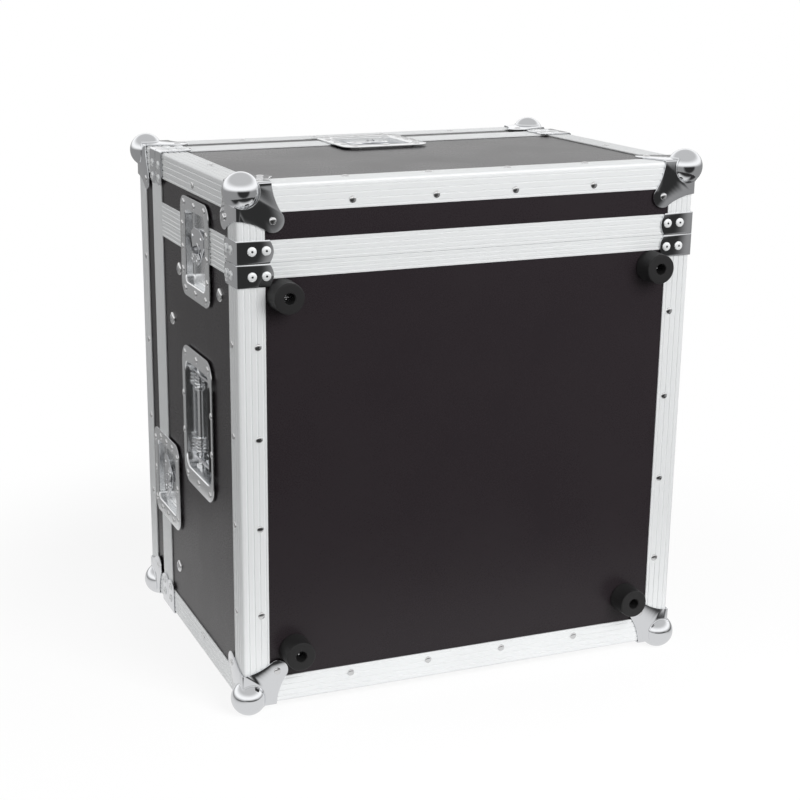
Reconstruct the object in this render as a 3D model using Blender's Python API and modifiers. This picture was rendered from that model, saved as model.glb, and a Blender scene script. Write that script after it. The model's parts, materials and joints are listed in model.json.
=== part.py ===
"""Small combination flight case: body, lift-off lid and pull-off back cover.

The case stands on its end, as it is stored, with its rubber feet toward -Y.
Units are metres, +Z is up, and the origin is on the floor under the middle of the case.
"""
from math import asin, cos, pi, radians, sin, tau

import bmesh
import bpy
from mathutils import Matrix, Vector

MM = 0.001

# Outside of the case over its aluminium edging
CASE_WIDTH = 530 * MM
CASE_DEPTH = 387 * MM
CASE_HEIGHT = 570 * MM
LID_HEIGHT = 81 * MM
COVER_DEPTH = 83 * MM

# Walls
PANEL = 9 * MM
METAL = 1.5 * MM
SEAT = 0.3 * MM
EDGE_LEG = 30 * MM

# Closing rims along the two splits
BODY_BAND = 16.5 * MM
CAP_BAND = 23 * MM
RIM_WEB = 6.5 * MM
RIM_INNER_LEG = 12 * MM
TONGUE_WIDTH = 2.4 * MM
TONGUE_HEIGHT = 3.2 * MM
TONGUE_CLEARANCE = 0.4 * MM

# Ball corners
BALL_RADIUS = 19.5 * MM
BALL_INSET = 7.5 * MM
BALL_SEGMENTS = 12
BALL_RINGS = 8
WING_METAL = 1.5 * MM
WING_REACH = 37 * MM
LOBE_CENTRE = 38 * MM
LOBE_RADIUS = 12.5 * MM
LOBE_POINTS = 6
WING_CURVE_PULL = 18 * MM

# Split brackets
BRACKET_HEIGHT = 24 * MM
BRACKET_REACH = 34.6 * MM
BRACKET_BULGE = 4.2 * MM
BRACKET_RIVET_PITCH = 15.4 * MM
BRACKET_RIVET_HEIGHT = 13 * MM

# Shanks of the bracket rivets
RIVET_SHANK = 2.4 * MM
RIVET_SIDES = 6

# Rubber feet
FOOT_RADIUS = 17.3 * MM
FOOT_TIP_RADIUS = 16.4 * MM
FOOT_HEIGHT = 24 * MM
FOOT_RECESS_RADIUS = 6 * MM
FOOT_RECESS_DEPTH = 15 * MM
FOOT_SEGMENTS = 16
HIGH_FEET_SIDE_GAP = 1.2 * MM
LOW_FEET_SIDE_GAP = 11.7 * MM
HIGH_FEET_RIM_GAP = 0.2 * MM
LOW_FEET_EDGE_GAP = 12.7 * MM
FOOT_BORE_RADIUS = 2.8 * MM

# Rack rails inside, with one long slot for sliding nuts
RACK_CLEAR_WIDTH = 450 * MM
RAIL_SLOT_INSET = 7.5 * MM
RAIL_METAL = 2 * MM
RAIL_FLANGE = 32 * MM
RAIL_SLOT_WIDTH = 6.6 * MM
RAIL_SLOT_END = 10 * MM
TOP_RAIL_LENGTH = 222.25 * MM
TOP_RAIL_START = 20 * MM
TOP_RAIL_BOLT_DROP = 43.5 * MM
TOP_RAIL_BOLTS = (46 * MM, 201 * MM)
BACK_RAIL_LENGTH = 400 * MM
BACK_RAIL_START = 14 * MM
BACK_RAIL_BOLT_INSET = 48 * MM
BACK_RAIL_BOLTS = (57 * MM, 367 * MM)
BOLT_RADIUS = 5.4 * MM
BOLT_SHANK_RADIUS = 3 * MM
BOLT_HEAD_HEIGHT = 3 * MM
BOLT_HEAD_TAPER = 0.55
NUT_HEIGHT = 5 * MM

# Sprung handles on the two sides
HANDLE_DEEP = 152 * MM
HANDLE_HIGH = 282 * MM
HANDLE_WIDTH = 115.4 * MM
HANDLE_LENGTH = 163 * MM
HANDLE_CORNER = 20 * MM
DISH_METAL = 1.2 * MM
HANDLE_OPEN_WIDTH = 100 * MM
HANDLE_OPEN_LENGTH = 126 * MM
HANDLE_OPEN_CORNER = 16 * MM
HANDLE_DISH_DEPTH = 27 * MM
HINGE_OFFSET = 36 * MM
HINGE_DEPTH = 12.5 * MM
HINGE_ROD_RADIUS = 3.2 * MM
COLLAR_RADIUS = 6.2 * MM
COLLAR_SPAN = 61 * MM
COLLAR_WIDTH = 4 * MM
ROD_SEGMENTS = 12
SPRING_WIRE = 1.0 * MM
SPRING_CURLS = 4
POINTS_PER_CURL = 8
GRIP_RADIUS = 12 * MM
GRIP_LENGTH = 98 * MM
GRIP_DISTANCE = 72 * MM
GRIP_CORE_RADIUS = 4 * MM
GRIP_SEGMENTS = 16
BOW_ARM = 3 * MM
BOW_ARM_WIDTH = 10 * MM
BOW_EYE_RADIUS = 7 * MM
RUNNING_CLEARANCE = 0.4 * MM
PANEL_CLEARANCE = 0.6 * MM

# Butterfly latches, measured from the split toward the strike half
LATCH_HALF_WIDTH = 54 * MM
LATCH_FIXED_LENGTH = 66.5 * MM
LATCH_STRIKE_LENGTH = 45.5 * MM
LATCH_CORNER = 16 * MM
LATCH_OPEN_HALF_WIDTH = 38 * MM
LATCH_OPEN_FIXED = 50.5 * MM
LATCH_OPEN_STRIKE = 30.5 * MM
LATCH_DISH_DEPTH = 9.3 * MM
HOOK_TOP = 1.0 * MM
HOOK_METAL = 1.5 * MM
HOOK_TRAVEL = 3.5 * MM
NOSE_FLOOR_GAP = 1 * MM
HOOK_NOSE_REACH = 14 * MM
HOOK_TAIL_REACH = 23 * MM
HOOK_HALF_WIDTH = 26 * MM
HOOK_TAIL_HALF_WIDTH = 13 * MM
NOSE_HALF_WIDTH = 12 * MM
NOSE_METAL = 2 * MM
LIP_METAL = 2.2 * MM
LIP_HALF_WIDTH = 15 * MM
POST_OFFSET = 9.5 * MM
POST_RADIUS = 5 * MM
POST_SEGMENTS = 12
CAM_RADIUS = 6.5 * MM
CAM_OFFSET = 2.2 * MM
KEY_METAL = 1.6 * MM
KEY_PIVOT_OUT = 0.5 * MM
KEY_PIN_RADIUS = 1.0 * MM
KEY_LOBE_RADIUS = 6.5 * MM
KEY_LOBE_SPREAD = 8.5 * MM
KEY_LOBE_OUT = 9 * MM
KEY_WAIST = 3 * MM
KEY_LOBE_POINTS = 7
SIDE_LID_LATCH_DEEP = 148 * MM
COVER_LATCH_HIGH = 173 * MM

# Places of the case's outer faces and splits
SKIN = METAL + SEAT
WALL = SKIN + PANEL + SKIN
BALL_OUT = BALL_RADIUS - BALL_INSET
FOOT_OUT = FOOT_HEIGHT - METAL
SIDE = CASE_WIDTH / 2
FRONT = -(CASE_DEPTH + BALL_OUT - FOOT_OUT) / 2
BACK = FRONT + CASE_DEPTH
BOTTOM = BALL_OUT
TOP = BOTTOM + CASE_HEIGHT
LID_SPLIT = TOP - LID_HEIGHT
COVER_SPLIT = BACK - COVER_DEPTH
HALF_SEAT = SEAT / 2
PANEL_END = HALF_SEAT + RIM_WEB + SEAT
DISH_CUT = DISH_METAL + PANEL_CLEARANCE

X = Vector((1, 0, 0))
Y = Vector((0, 1, 0))
Z = Vector((0, 0, 1))

for old in list(bpy.data.objects):
    bpy.data.objects.remove(old)

parts = bpy.data.collections.new("flight_case")
cutters = bpy.data.collections.new("cutters")
bpy.context.scene.collection.children.link(parts)
bpy.context.scene.collection.children.link(cutters)


def finish_material(name, colour, roughness, metallic):
    """A Principled material with one colour."""
    material = bpy.data.materials.new(name)
    material.use_nodes = True
    shader = material.node_tree.nodes["Principled BSDF"]
    shader.inputs["Base Color"].default_value = (*colour, 1)
    shader.inputs["Roughness"].default_value = roughness
    shader.inputs["Metallic"].default_value = metallic
    return material


LAMINATE = finish_material("laminate", (0.035, 0.026, 0.026), 0.45, 0)
ALUMINIUM = finish_material("aluminium", (0.78, 0.79, 0.80), 0.35, 1)
CHROME = finish_material("chrome", (0.82, 0.83, 0.85), 0.12, 1)
STEEL = finish_material("steel", (0.55, 0.56, 0.58), 0.3, 1)
RUBBER = finish_material("rubber", (0.02, 0.02, 0.02), 0.7, 0)


def place(origin, x_axis, y_axis, z_axis):
    """Matrix that takes a local frame to the case's frame."""
    matrix = Matrix((x_axis, y_axis, z_axis)).transposed().to_4x4()
    matrix.translation = Vector(origin)
    return matrix


def add_mesh(shape, mesh, matrix=None):
    """Add a copy of a mesh to a bmesh, turned inside out again where the matrix mirrors it."""
    first_vertex = len(shape.verts)
    first_face = len(shape.faces)
    shape.from_mesh(mesh)
    shape.verts.ensure_lookup_table()
    shape.faces.ensure_lookup_table()
    if matrix is not None:
        bmesh.ops.transform(shape, matrix=matrix, verts=shape.verts[first_vertex:])
        if matrix.determinant() < 0:
            bmesh.ops.reverse_faces(shape, faces=shape.faces[first_face:])


def add_box(shape, low, high):
    """Add a box between two corners."""
    size = [b - a for a, b in zip(low, high)]
    middle = [(a + b) / 2 for a, b in zip(low, high)]
    matrix = Matrix.Translation(middle) @ Matrix.Diagonal((*size, 1))
    bmesh.ops.create_cube(shape, size=1, matrix=matrix)


def add_cone(shape, base, axis, low_radius, high_radius, height, sides):
    """Add a closed cone or cylinder that stands on base along axis."""
    turn = Z.rotation_difference(axis).to_matrix().to_4x4()
    matrix = Matrix.Translation(Vector(base) + axis * (height / 2)) @ turn
    bmesh.ops.create_cone(shape, cap_ends=True, segments=sides, radius1=low_radius,
                          radius2=high_radius, depth=height, matrix=matrix)


def mesh_of(shape, name="shape"):
    """Turn a bmesh into a mesh and free it."""
    mesh = bpy.data.meshes.new(name)
    shape.to_mesh(mesh)
    shape.free()
    return mesh


def show(name, mesh, material, smooth=False):
    """One named piece of the case."""
    mesh.name = name
    mesh.materials.clear()
    mesh.materials.append(material)
    if smooth:
        mesh.shade_smooth()
        mesh.set_sharp_from_angle(angle=radians(35))
    piece = bpy.data.objects.new(name, mesh)
    parts.objects.link(piece)
    return piece


def moved(mesh, matrix):
    """A copy of a mesh in another place."""
    shape = bmesh.new()
    add_mesh(shape, mesh, matrix)
    return mesh_of(shape)


def evaluated(holder):
    """The finished mesh of an object, with its modifiers."""
    bpy.context.view_layer.update()
    depsgraph = bpy.context.evaluated_depsgraph_get()
    return bpy.data.meshes.new_from_object(holder.evaluated_get(depsgraph))


def weld(mesh):
    """Join the loose caps of a mesh that comes from a curve."""
    shape = bmesh.new()
    shape.from_mesh(mesh)
    bmesh.ops.remove_doubles(shape, verts=shape.verts, dist=0.00001)
    bmesh.ops.recalc_face_normals(shape, faces=shape.faces)
    shape.to_mesh(mesh)
    shape.free()


def plate(outline, low, high, holes=()):
    """Mesh of a flat outline in X and Y that runs along Z from low to high."""
    curve = bpy.data.curves.new("outline", "CURVE")
    curve.dimensions = "2D"
    curve.fill_mode = "BOTH"
    curve.extrude = (high - low) / 2
    for ring in (outline, *holes):
        spline = curve.splines.new("POLY")
        spline.points.add(len(ring) - 1)
        for point, (x, y) in zip(spline.points, ring):
            point.co = (x, y, 0, 1)
        spline.use_cyclic_u = True
    holder = bpy.data.objects.new("outline", curve)
    bpy.context.scene.collection.objects.link(holder)
    mesh = evaluated(holder)
    bpy.data.objects.remove(holder)
    weld(mesh)
    mesh.transform(Matrix.Translation((0, 0, (low + high) / 2)))
    return mesh


def combined(first, others, operation):
    """Mesh of a Boolean union or difference of meshes that lie in one frame.

    Many faces here lie in one plane, where the exact solver leaves open edges.
    """
    holder = bpy.data.objects.new("first", first)
    bpy.context.scene.collection.objects.link(holder)
    helpers = []
    for mesh in others:
        helper = bpy.data.objects.new("other", mesh)
        helper.hide_render = True
        helper.display_type = "WIRE"
        cutters.objects.link(helper)
        step = holder.modifiers.new("step", "BOOLEAN")
        step.operation = operation
        step.solver = "MANIFOLD"
        step.object = helper
        helpers.append(helper)
    mesh = evaluated(holder)
    for used in (holder, *helpers):
        bpy.data.objects.remove(used)
    return mesh


def turned(profile, segments):
    """Closed solid of a profile in X and Z turned about Z, listed down its outer side."""
    shape = bmesh.new()
    corners = [shape.verts.new((radius, 0, height)) for radius, height in profile]
    for low, high in zip(corners, corners[1:]):
        shape.edges.new((low, high))
    holder = bpy.data.objects.new("profile", mesh_of(shape))
    bpy.context.scene.collection.objects.link(holder)
    spin = holder.modifiers.new("spin", "SCREW")
    spin.steps = segments
    spin.render_steps = segments
    spin.use_merge_vertices = True
    spin.merge_threshold = 0.00001
    mesh = evaluated(holder)
    bpy.data.objects.remove(holder)
    weld(mesh)
    return mesh


def box_mesh(low, high):
    """Mesh of one box."""
    shape = bmesh.new()
    add_box(shape, low, high)
    return mesh_of(shape)


def cylinder_mesh(base, axis, radius, height, sides):
    """Mesh of one cylinder."""
    shape = bmesh.new()
    add_cone(shape, base, axis, radius, radius, height, sides)
    return mesh_of(shape)


def circle(centre, radius, sides, start=0.0):
    """Points of a circle in X and Y."""
    return [(centre[0] + radius * cos(start + tau * k / sides),
             centre[1] + radius * sin(start + tau * k / sides)) for k in range(sides)]


def rounded(x_low, x_high, y_low, y_high, radii, steps=4):
    """Rectangle with a radius for each corner, from low-low round by high-low."""
    corners = ((x_low, y_low, 1, 1, pi), (x_high, y_low, -1, 1, 1.5 * pi),
               (x_high, y_high, -1, -1, 0), (x_low, y_high, 1, -1, 0.5 * pi))
    points = []
    for (x, y, inward_x, inward_y, start), radius in zip(corners, radii):
        if radius == 0:
            points.append((x, y))
            continue
        for k in range(steps + 1):
            angle = start + 0.5 * pi * k / steps
            points.append((x + inward_x * radius + radius * cos(angle),
                           y + inward_y * radius + radius * sin(angle)))
    return points


# Where the latches and handles sit: x and y run in the face, z points out of it
LATCHES = {
    "left_lid": place((-SIDE, FRONT + SIDE_LID_LATCH_DEEP, LID_SPLIT), Z, Y, -X),
    "right_lid": place((SIDE, FRONT + SIDE_LID_LATCH_DEEP, LID_SPLIT), Z, -Y, X),
    "left_cover": place((-SIDE, COVER_SPLIT, BOTTOM + COVER_LATCH_HIGH), Y, -Z, -X),
    "right_cover": place((SIDE, COVER_SPLIT, BOTTOM + COVER_LATCH_HIGH), Y, Z, X),
    "top_cover": place((0, COVER_SPLIT, TOP), Y, -X, Z),
}
HANDLES = {
    "left": place((-SIDE, FRONT + HANDLE_DEEP, BOTTOM + HANDLE_HIGH), -Y, Z, -X),
    "right": place((SIDE, FRONT + HANDLE_DEEP, BOTTOM + HANDLE_HIGH), -Y, -Z, X),
}
LATCH_CUT = LATCH_OPEN_HALF_WIDTH + DISH_CUT


def cut_panel(piece, matrix, mesh):
    """Cut one opening, given in the frame of a latch, handle or rail, through a piece."""
    cutter = bpy.data.objects.new(piece.name + "_opening", moved(mesh, matrix))
    cutter.hide_render = True
    cutter.display_type = "WIRE"
    cutters.objects.link(cutter)
    step = piece.modifiers.new("opening", "BOOLEAN")
    step.operation = "DIFFERENCE"
    step.object = cutter


def box_piece(name, low, high, material):
    """A piece that is one plain box."""
    return show(name, box_mesh(low, high), material)


def latch_opening():
    """The hole that both halves of a latch need in the wall."""
    return box_mesh((-LATCH_OPEN_FIXED - DISH_CUT, -LATCH_CUT, -2 * WALL),
                    (LATCH_OPEN_STRIKE + DISH_CUT, LATCH_CUT, WALL))


def handle_opening():
    """The hole that a handle's dish needs in the wall."""
    half_width = HANDLE_OPEN_WIDTH / 2 + DISH_CUT
    half_length = HANDLE_OPEN_LENGTH / 2 + DISH_CUT
    outline = rounded(-half_width, half_width, -half_length, half_length,
                      [HANDLE_OPEN_CORNER + DISH_CUT] * 4)
    return plate(outline, -2 * WALL, WALL)


def shell(name, outer, cutter_boxes, material):
    """One body: a box between two corners, less other boxes."""
    mesh = combined(box_mesh(*outer), [box_mesh(*box) for box in cutter_boxes], "DIFFERENCE")
    return show(name, mesh, material)


def make_panels():
    """The laminated plywood of the body, the lid and the cover."""
    outside = SIDE - SKIN
    inside = outside - PANEL
    front_out, front_in = FRONT + SKIN, FRONT + SKIN + PANEL
    back_out, back_in = BACK - SKIN, BACK - SKIN - PANEL
    low_out, low_in = BOTTOM + SKIN, BOTTOM + SKIN + PANEL
    high_out, high_in = TOP - SKIN, TOP - SKIN - PANEL
    body_top, lid_base = LID_SPLIT - PANEL_END, LID_SPLIT + PANEL_END
    body_back, cover_front = COVER_SPLIT - PANEL_END, COVER_SPLIT + PANEL_END

    box_piece("body_front_panel", (-outside, front_out, low_out),
              (outside, front_in, body_top), LAMINATE)
    box_piece("body_bottom_panel", (-outside, front_in + SEAT, low_out),
              (outside, body_back, low_in), LAMINATE)
    sides = {}
    for name, sign in (("left", -1), ("right", 1)):
        x_low, x_high = sorted((sign * outside, sign * inside))
        sides[name] = box_piece(f"body_{name}_panel", (x_low, front_in + SEAT, low_in + SEAT),
                                (x_high, body_back, body_top), LAMINATE)
    lid = shell("lid_shell", ((-outside, front_out, lid_base), (outside, body_back, high_out)),
                [((-inside, front_in, lid_base - PANEL), (inside, body_back + PANEL, high_in))],
                LAMINATE)
    box_piece("cover_back_panel", (-outside, back_in, low_out),
              (outside, back_out, high_out), LAMINATE)
    walls = shell("cover_walls", ((-outside, cover_front, low_out),
                                  (outside, back_in - SEAT, high_out)),
                  [((-inside, cover_front - PANEL, low_in), (inside, back_in + PANEL, high_in))],
                  LAMINATE)

    hole = latch_opening()
    for name, panels in (("left_lid", (sides["left"], lid)), ("right_lid", (sides["right"], lid)),
                         ("left_cover", (sides["left"], walls)),
                         ("right_cover", (sides["right"], walls)), ("top_cover", (lid, walls))):
        for panel in panels:
            cut_panel(panel, LATCHES[name], hole)
    for name, matrix in HANDLES.items():
        cut_panel(sides[name], matrix, handle_opening())
    for (name, _, spots), frame in zip(RAILS, rail_frames()):
        side = sides["left" if "left" in name else "right"]
        for spot in spots:
            bore = cylinder_mesh((-PANEL - 2 * WALL, spot, -RAIL_FLANGE / 2), X,
                                 BOLT_SHANK_RADIUS + SEAT, 4 * WALL, RIVET_SIDES)
            cut_panel(side, frame, bore)


def make_edging():
    """Aluminium angle edging: the angles of each shell are one frame."""
    body_top = LID_SPLIT - BODY_BAND - SEAT
    lid_base = LID_SPLIT + CAP_BAND + SEAT
    body_back = COVER_SPLIT - BODY_BAND - SEAT
    cover_front = COVER_SPLIT + CAP_BAND + SEAT
    far = CASE_HEIGHT
    wide, clear = SIDE - METAL, SIDE - EDGE_LEG
    front_leg, back_leg = FRONT + EDGE_LEG, BACK - EDGE_LEG
    low_leg, high_leg = BOTTOM + EDGE_LEG, TOP - EDGE_LEG
    shell("body_edging", ((-SIDE, FRONT, BOTTOM), (SIDE, body_back, body_top)), [
        ((-wide, FRONT + METAL, BOTTOM + METAL), (wide, far, 2 * far)),
        ((-far, front_leg, low_leg), (far, far, 2 * far)),
        ((-clear, -far, low_leg), (clear, front_leg, 2 * far)),
        ((-clear, front_leg, -far), (clear, far, low_leg)),
    ], ALUMINIUM)
    shell("lid_edging", ((-SIDE, FRONT, lid_base), (SIDE, body_back, TOP)), [
        ((-wide, FRONT + METAL, -far), (wide, far, TOP - METAL)),
        ((-far, front_leg, -far), (far, far, high_leg)),
        ((-clear, -far, -far), (clear, front_leg, high_leg)),
        ((-clear, front_leg, high_leg), (clear, far, 2 * far)),
    ], ALUMINIUM)
    shell("cover_edging", ((-SIDE, cover_front, BOTTOM), (SIDE, BACK, TOP)), [
        ((-wide, -far, BOTTOM + METAL), (wide, BACK - METAL, TOP - METAL)),
        ((-far, -far, low_leg), (far, back_leg, high_leg)),
        ((-clear, back_leg, low_leg), (clear, far, high_leg)),
        ((-clear, -far, -far), (clear, back_leg, 2 * far)),
    ], ALUMINIUM)


def rim_channel(box, band):
    """Rim along the walls of a split, as a channel that holds the panels' ends.

    box(inset, near, far, beyond) gives the corners of a box that is inset from the outside
    of the walls, runs from near to far of the split, and passes the open ends by beyond.
    """
    web = HALF_SEAT + RIM_WEB
    far = CASE_HEIGHT
    solid = combined(box_mesh(*box(0, HALF_SEAT, band, 0)),
                     [box_mesh(*box(METAL, web, 2 * band, far))], "DIFFERENCE")
    inner_leg = box_mesh(*box(WALL - METAL, web - METAL / 2, RIM_INNER_LEG, 0))
    solid = combined(solid, [inner_leg], "UNION")
    return combined(solid, [box_mesh(*box(WALL, -band, 2 * band, far))], "DIFFERENCE")


def lid_split_box(sign):
    """Box maker for the rims below (-1) or above (1) the lid's split: front and sides."""
    def box(inset, near, far, beyond):
        low, high = sorted((LID_SPLIT + sign * near, LID_SPLIT + sign * far))
        return ((inset - SIDE, FRONT + inset, low),
                (SIDE - inset, COVER_SPLIT - HALF_SEAT + beyond, high))
    return box


def cover_split_box(sign, low_end, high_end):
    """Box maker for the rims before (-1) or behind (1) the cover's split.

    An end that lies on the case's outside is a wall; one at the lid's split is open.
    """
    def box(inset, near, far, beyond):
        first, last = sorted((COVER_SPLIT + sign * near, COVER_SPLIT + sign * far))
        low = low_end + inset if low_end == BOTTOM else low_end - beyond
        high = high_end - inset if high_end == TOP else high_end + beyond
        return (inset - SIDE, first, low), (SIDE - inset, last, high)
    return box


def tongues(split, grow):
    """Boxes of the body's tongues at a split, or with clearance, of the grooves for them."""
    half = TONGUE_WIDTH / 2 + grow
    middle = SIDE - WALL / 2
    base, tip = -RIM_WEB / 2, TONGUE_HEIGHT + grow
    if split == "lid":
        wall, end = FRONT + WALL / 2, COVER_SPLIT - BODY_BAND + grow
    else:
        wall, end = BOTTOM + WALL / 2, LID_SPLIT - BODY_BAND + grow
    boxes = [((-middle - half, wall - half), (middle + half, wall + half))]
    boxes += [((x - half, wall - half / 2), (x + half, end)) for x in (-middle, middle)]
    meshes = []
    for (x_low, low), (x_high, high) in boxes:
        if split == "lid":
            corners = ((x_low, low, LID_SPLIT + base), (x_high, high, LID_SPLIT + tip))
        else:
            corners = ((x_low, COVER_SPLIT + base, low), (x_high, COVER_SPLIT + tip, high))
        meshes.append(box_mesh(*corners))
    return meshes


def riveted_bracket():
    """A split bracket with the shanks of its four rivets, which hold it to the rim."""
    reach = METAL * 0.6
    height = reach + SEAT + WING_METAL / 2
    high = HALF_SEAT + BRACKET_RIVET_HEIGHT
    shanks = []
    for along in (BRACKET_RIVET_PITCH, 2 * BRACKET_RIVET_PITCH):
        shanks.append(cylinder_mesh((along, reach, high), -Y, RIVET_SHANK, height, RIVET_SIDES))
        shanks.append(cylinder_mesh((reach, along, high), -X, RIVET_SHANK, height, RIVET_SIDES))
    return combined(bracket(), shanks, "UNION")


def make_rims():
    """Closing rims with their split brackets: tongues on the body, grooves on the rest."""
    body = combined(rim_channel(lid_split_box(-1), BODY_BAND),
                    [rim_channel(cover_split_box(-1, BOTTOM, LID_SPLIT - HALF_SEAT), BODY_BAND)],
                    "UNION")
    body = combined(body, tongues("lid", 0) + tongues("cover", 0), "UNION")
    lid = combined(rim_channel(lid_split_box(1), CAP_BAND),
                   [rim_channel(cover_split_box(-1, LID_SPLIT + HALF_SEAT, TOP), BODY_BAND)],
                   "UNION")
    lid = combined(lid, tongues("lid", TONGUE_CLEARANCE), "DIFFERENCE")
    cover = rim_channel(cover_split_box(1, BOTTOM, TOP), CAP_BAND)
    cover = combined(cover, tongues("cover", TONGUE_CLEARANCE), "DIFFERENCE")
    notch = box_mesh(
        (-LATCH_OPEN_FIXED, -LATCH_CUT, -LATCH_DISH_DEPTH - DISH_METAL - SEAT),
        (LATCH_OPEN_STRIKE, LATCH_CUT, WALL))
    corner = riveted_bracket()
    for name, rims, latches in (
            ("body", body, ("left_lid", "right_lid", "left_cover", "right_cover")),
            ("lid", lid, ("left_lid", "right_lid", "top_cover")),
            ("cover", cover, ("left_cover", "right_cover", "top_cover"))):
        notches = [moved(notch, LATCHES[latch]) for latch in latches]
        rims = combined(rims, notches, "DIFFERENCE")
        corners = [moved(corner, frame) for frame in bracket_frames()[name]]
        show(f"{name}_rims", combined(rims, corners, "UNION"), ALUMINIUM)


def wing_outline():
    """Outline of one face of a ball corner, from the corner of the case."""
    reach = -SKIN
    lobe = [(LOBE_CENTRE + LOBE_RADIUS * cos(angle), LOBE_CENTRE + LOBE_RADIUS * sin(angle))
            for angle in (radians(-20 + 130 * k / LOBE_POINTS) for k in range(LOBE_POINTS + 1))]
    start, pull = (WING_REACH, 0), (WING_REACH + METAL, WING_CURVE_PULL)
    curve = [tuple((1 - t) ** 2 * a + 2 * t * (1 - t) * b + t * t * c
                   for a, b, c in zip(start, pull, lobe[0])) for t in (0, 0.33, 0.67)]
    mirrored = [(y, x) for x, y in reversed(curve)]
    return [(reach, reach), (WING_REACH, reach)] + curve + lobe + mirrored + [(reach, WING_REACH)]


def ball_corner():
    """A pressed ball corner, with the case's corner at the origin and the case toward +."""
    outline = wing_outline()
    wings = [plate(outline, -SEAT - WING_METAL, -SEAT) for _ in range(3)]
    wings[1].transform(place((0, 0, 0), Y, Z, X))
    wings[2].transform(place((0, 0, 0), Z, X, Y))
    shape = bmesh.new()
    middle = Matrix.Translation((BALL_INSET, BALL_INSET, BALL_INSET))
    bmesh.ops.create_uvsphere(shape, u_segments=BALL_SEGMENTS, v_segments=BALL_RINGS,
                              radius=BALL_RADIUS, matrix=middle)
    ball = combined(mesh_of(shape), wings, "UNION")
    inner = box_mesh((-SEAT, -SEAT, -SEAT), (2 * LOBE_CENTRE, 2 * LOBE_CENTRE, 2 * LOBE_CENTRE))
    return combined(ball, [inner], "DIFFERENCE")


CORNERS = {
    f"{shell_name}{side}": ((x, y, z), (-x / SIDE, toward_y, toward_z))
    for side, x in (("_left", -SIDE), ("_right", SIDE))
    for shell_name, y, z, toward_y, toward_z in (
        ("lid", FRONT, TOP, 1, -1), ("body", FRONT, BOTTOM, 1, 1),
        ("cover_low", BACK, BOTTOM, -1, 1), ("cover_top", BACK, TOP, -1, -1))
}


def corner_frame(corner):
    """Frame of a ball corner, with its axes pointing into the case."""
    point, signs = corner
    return place(point, X * signs[0], Y * signs[1], Z * signs[2])


def make_ball_corners():
    """The eight ball corners."""
    mesh = ball_corner()
    for name, corner in CORNERS.items():
        show(f"{name}_ball_corner", moved(mesh, corner_frame(corner)), CHROME, smooth=True)


def bracket():
    """One half of a split bracket: x and y run into the case, z away from the split."""
    bulge = [(BRACKET_REACH + BRACKET_BULGE * sin(pi * k / 5),
              HALF_SEAT + BRACKET_HEIGHT * k / 5) for k in range(6)]
    outline = [(-SKIN, HALF_SEAT)] + bulge + [(-SKIN, HALF_SEAT + BRACKET_HEIGHT)]
    leg = plate(outline, SEAT, SEAT + WING_METAL)
    first = moved(leg, place((0, 0, 0), X, Z, -Y))
    second = moved(leg, place((0, 0, 0), Y, Z, -X))
    return combined(first, [second], "UNION")


def bracket_frames():
    """Frames of the twelve brackets, grouped by shell."""
    frames = {"body": [], "lid": [], "cover": []}
    for x, inward in ((-SIDE, X), (SIDE, -X)):
        frames["body"].append(place((x, FRONT, LID_SPLIT), inward, Y, -Z))
        frames["lid"].append(place((x, FRONT, LID_SPLIT), inward, Y, Z))
        frames["body"].append(place((x, COVER_SPLIT, BOTTOM), inward, Z, -Y))
        frames["cover"].append(place((x, COVER_SPLIT, BOTTOM), inward, Z, Y))
        frames["lid"].append(place((x, COVER_SPLIT, TOP), inward, -Z, -Y))
        frames["cover"].append(place((x, COVER_SPLIT, TOP), inward, -Z, Y))
    return frames


def foot_places():
    """Where the four feet stand on the front panel."""
    high = LID_SPLIT - BODY_BAND - HIGH_FEET_RIM_GAP - FOOT_RADIUS
    low = BOTTOM + EDGE_LEG + LOW_FEET_EDGE_GAP + FOOT_RADIUS
    high_span = SIDE - EDGE_LEG - HIGH_FEET_SIDE_GAP - FOOT_RADIUS
    low_span = SIDE - EDGE_LEG - LOW_FEET_SIDE_GAP - FOOT_RADIUS
    return {
        "upper_left": (-high_span, FRONT + METAL, high),
        "upper_right": (high_span, FRONT + METAL, high),
        "lower_left": (-low_span, FRONT + METAL, low),
        "lower_right": (low_span, FRONT + METAL, low),
    }


def make_feet():
    """Four rubber feet, each with a recess and a bore for its screw."""
    floor = FOOT_HEIGHT - FOOT_RECESS_DEPTH
    foot = turned([
        (FOOT_BORE_RADIUS, floor), (FOOT_RECESS_RADIUS, floor),
        (FOOT_RECESS_RADIUS, FOOT_HEIGHT), (FOOT_TIP_RADIUS - METAL, FOOT_HEIGHT),
        (FOOT_TIP_RADIUS, FOOT_HEIGHT - METAL), (FOOT_RADIUS, 0), (FOOT_BORE_RADIUS, 0),
        (FOOT_BORE_RADIUS, floor),
    ], FOOT_SEGMENTS)
    for name, spot in foot_places().items():
        show(f"{name}_foot", moved(foot, place(spot, X, Z, -Y)), RUBBER, smooth=True)


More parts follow.
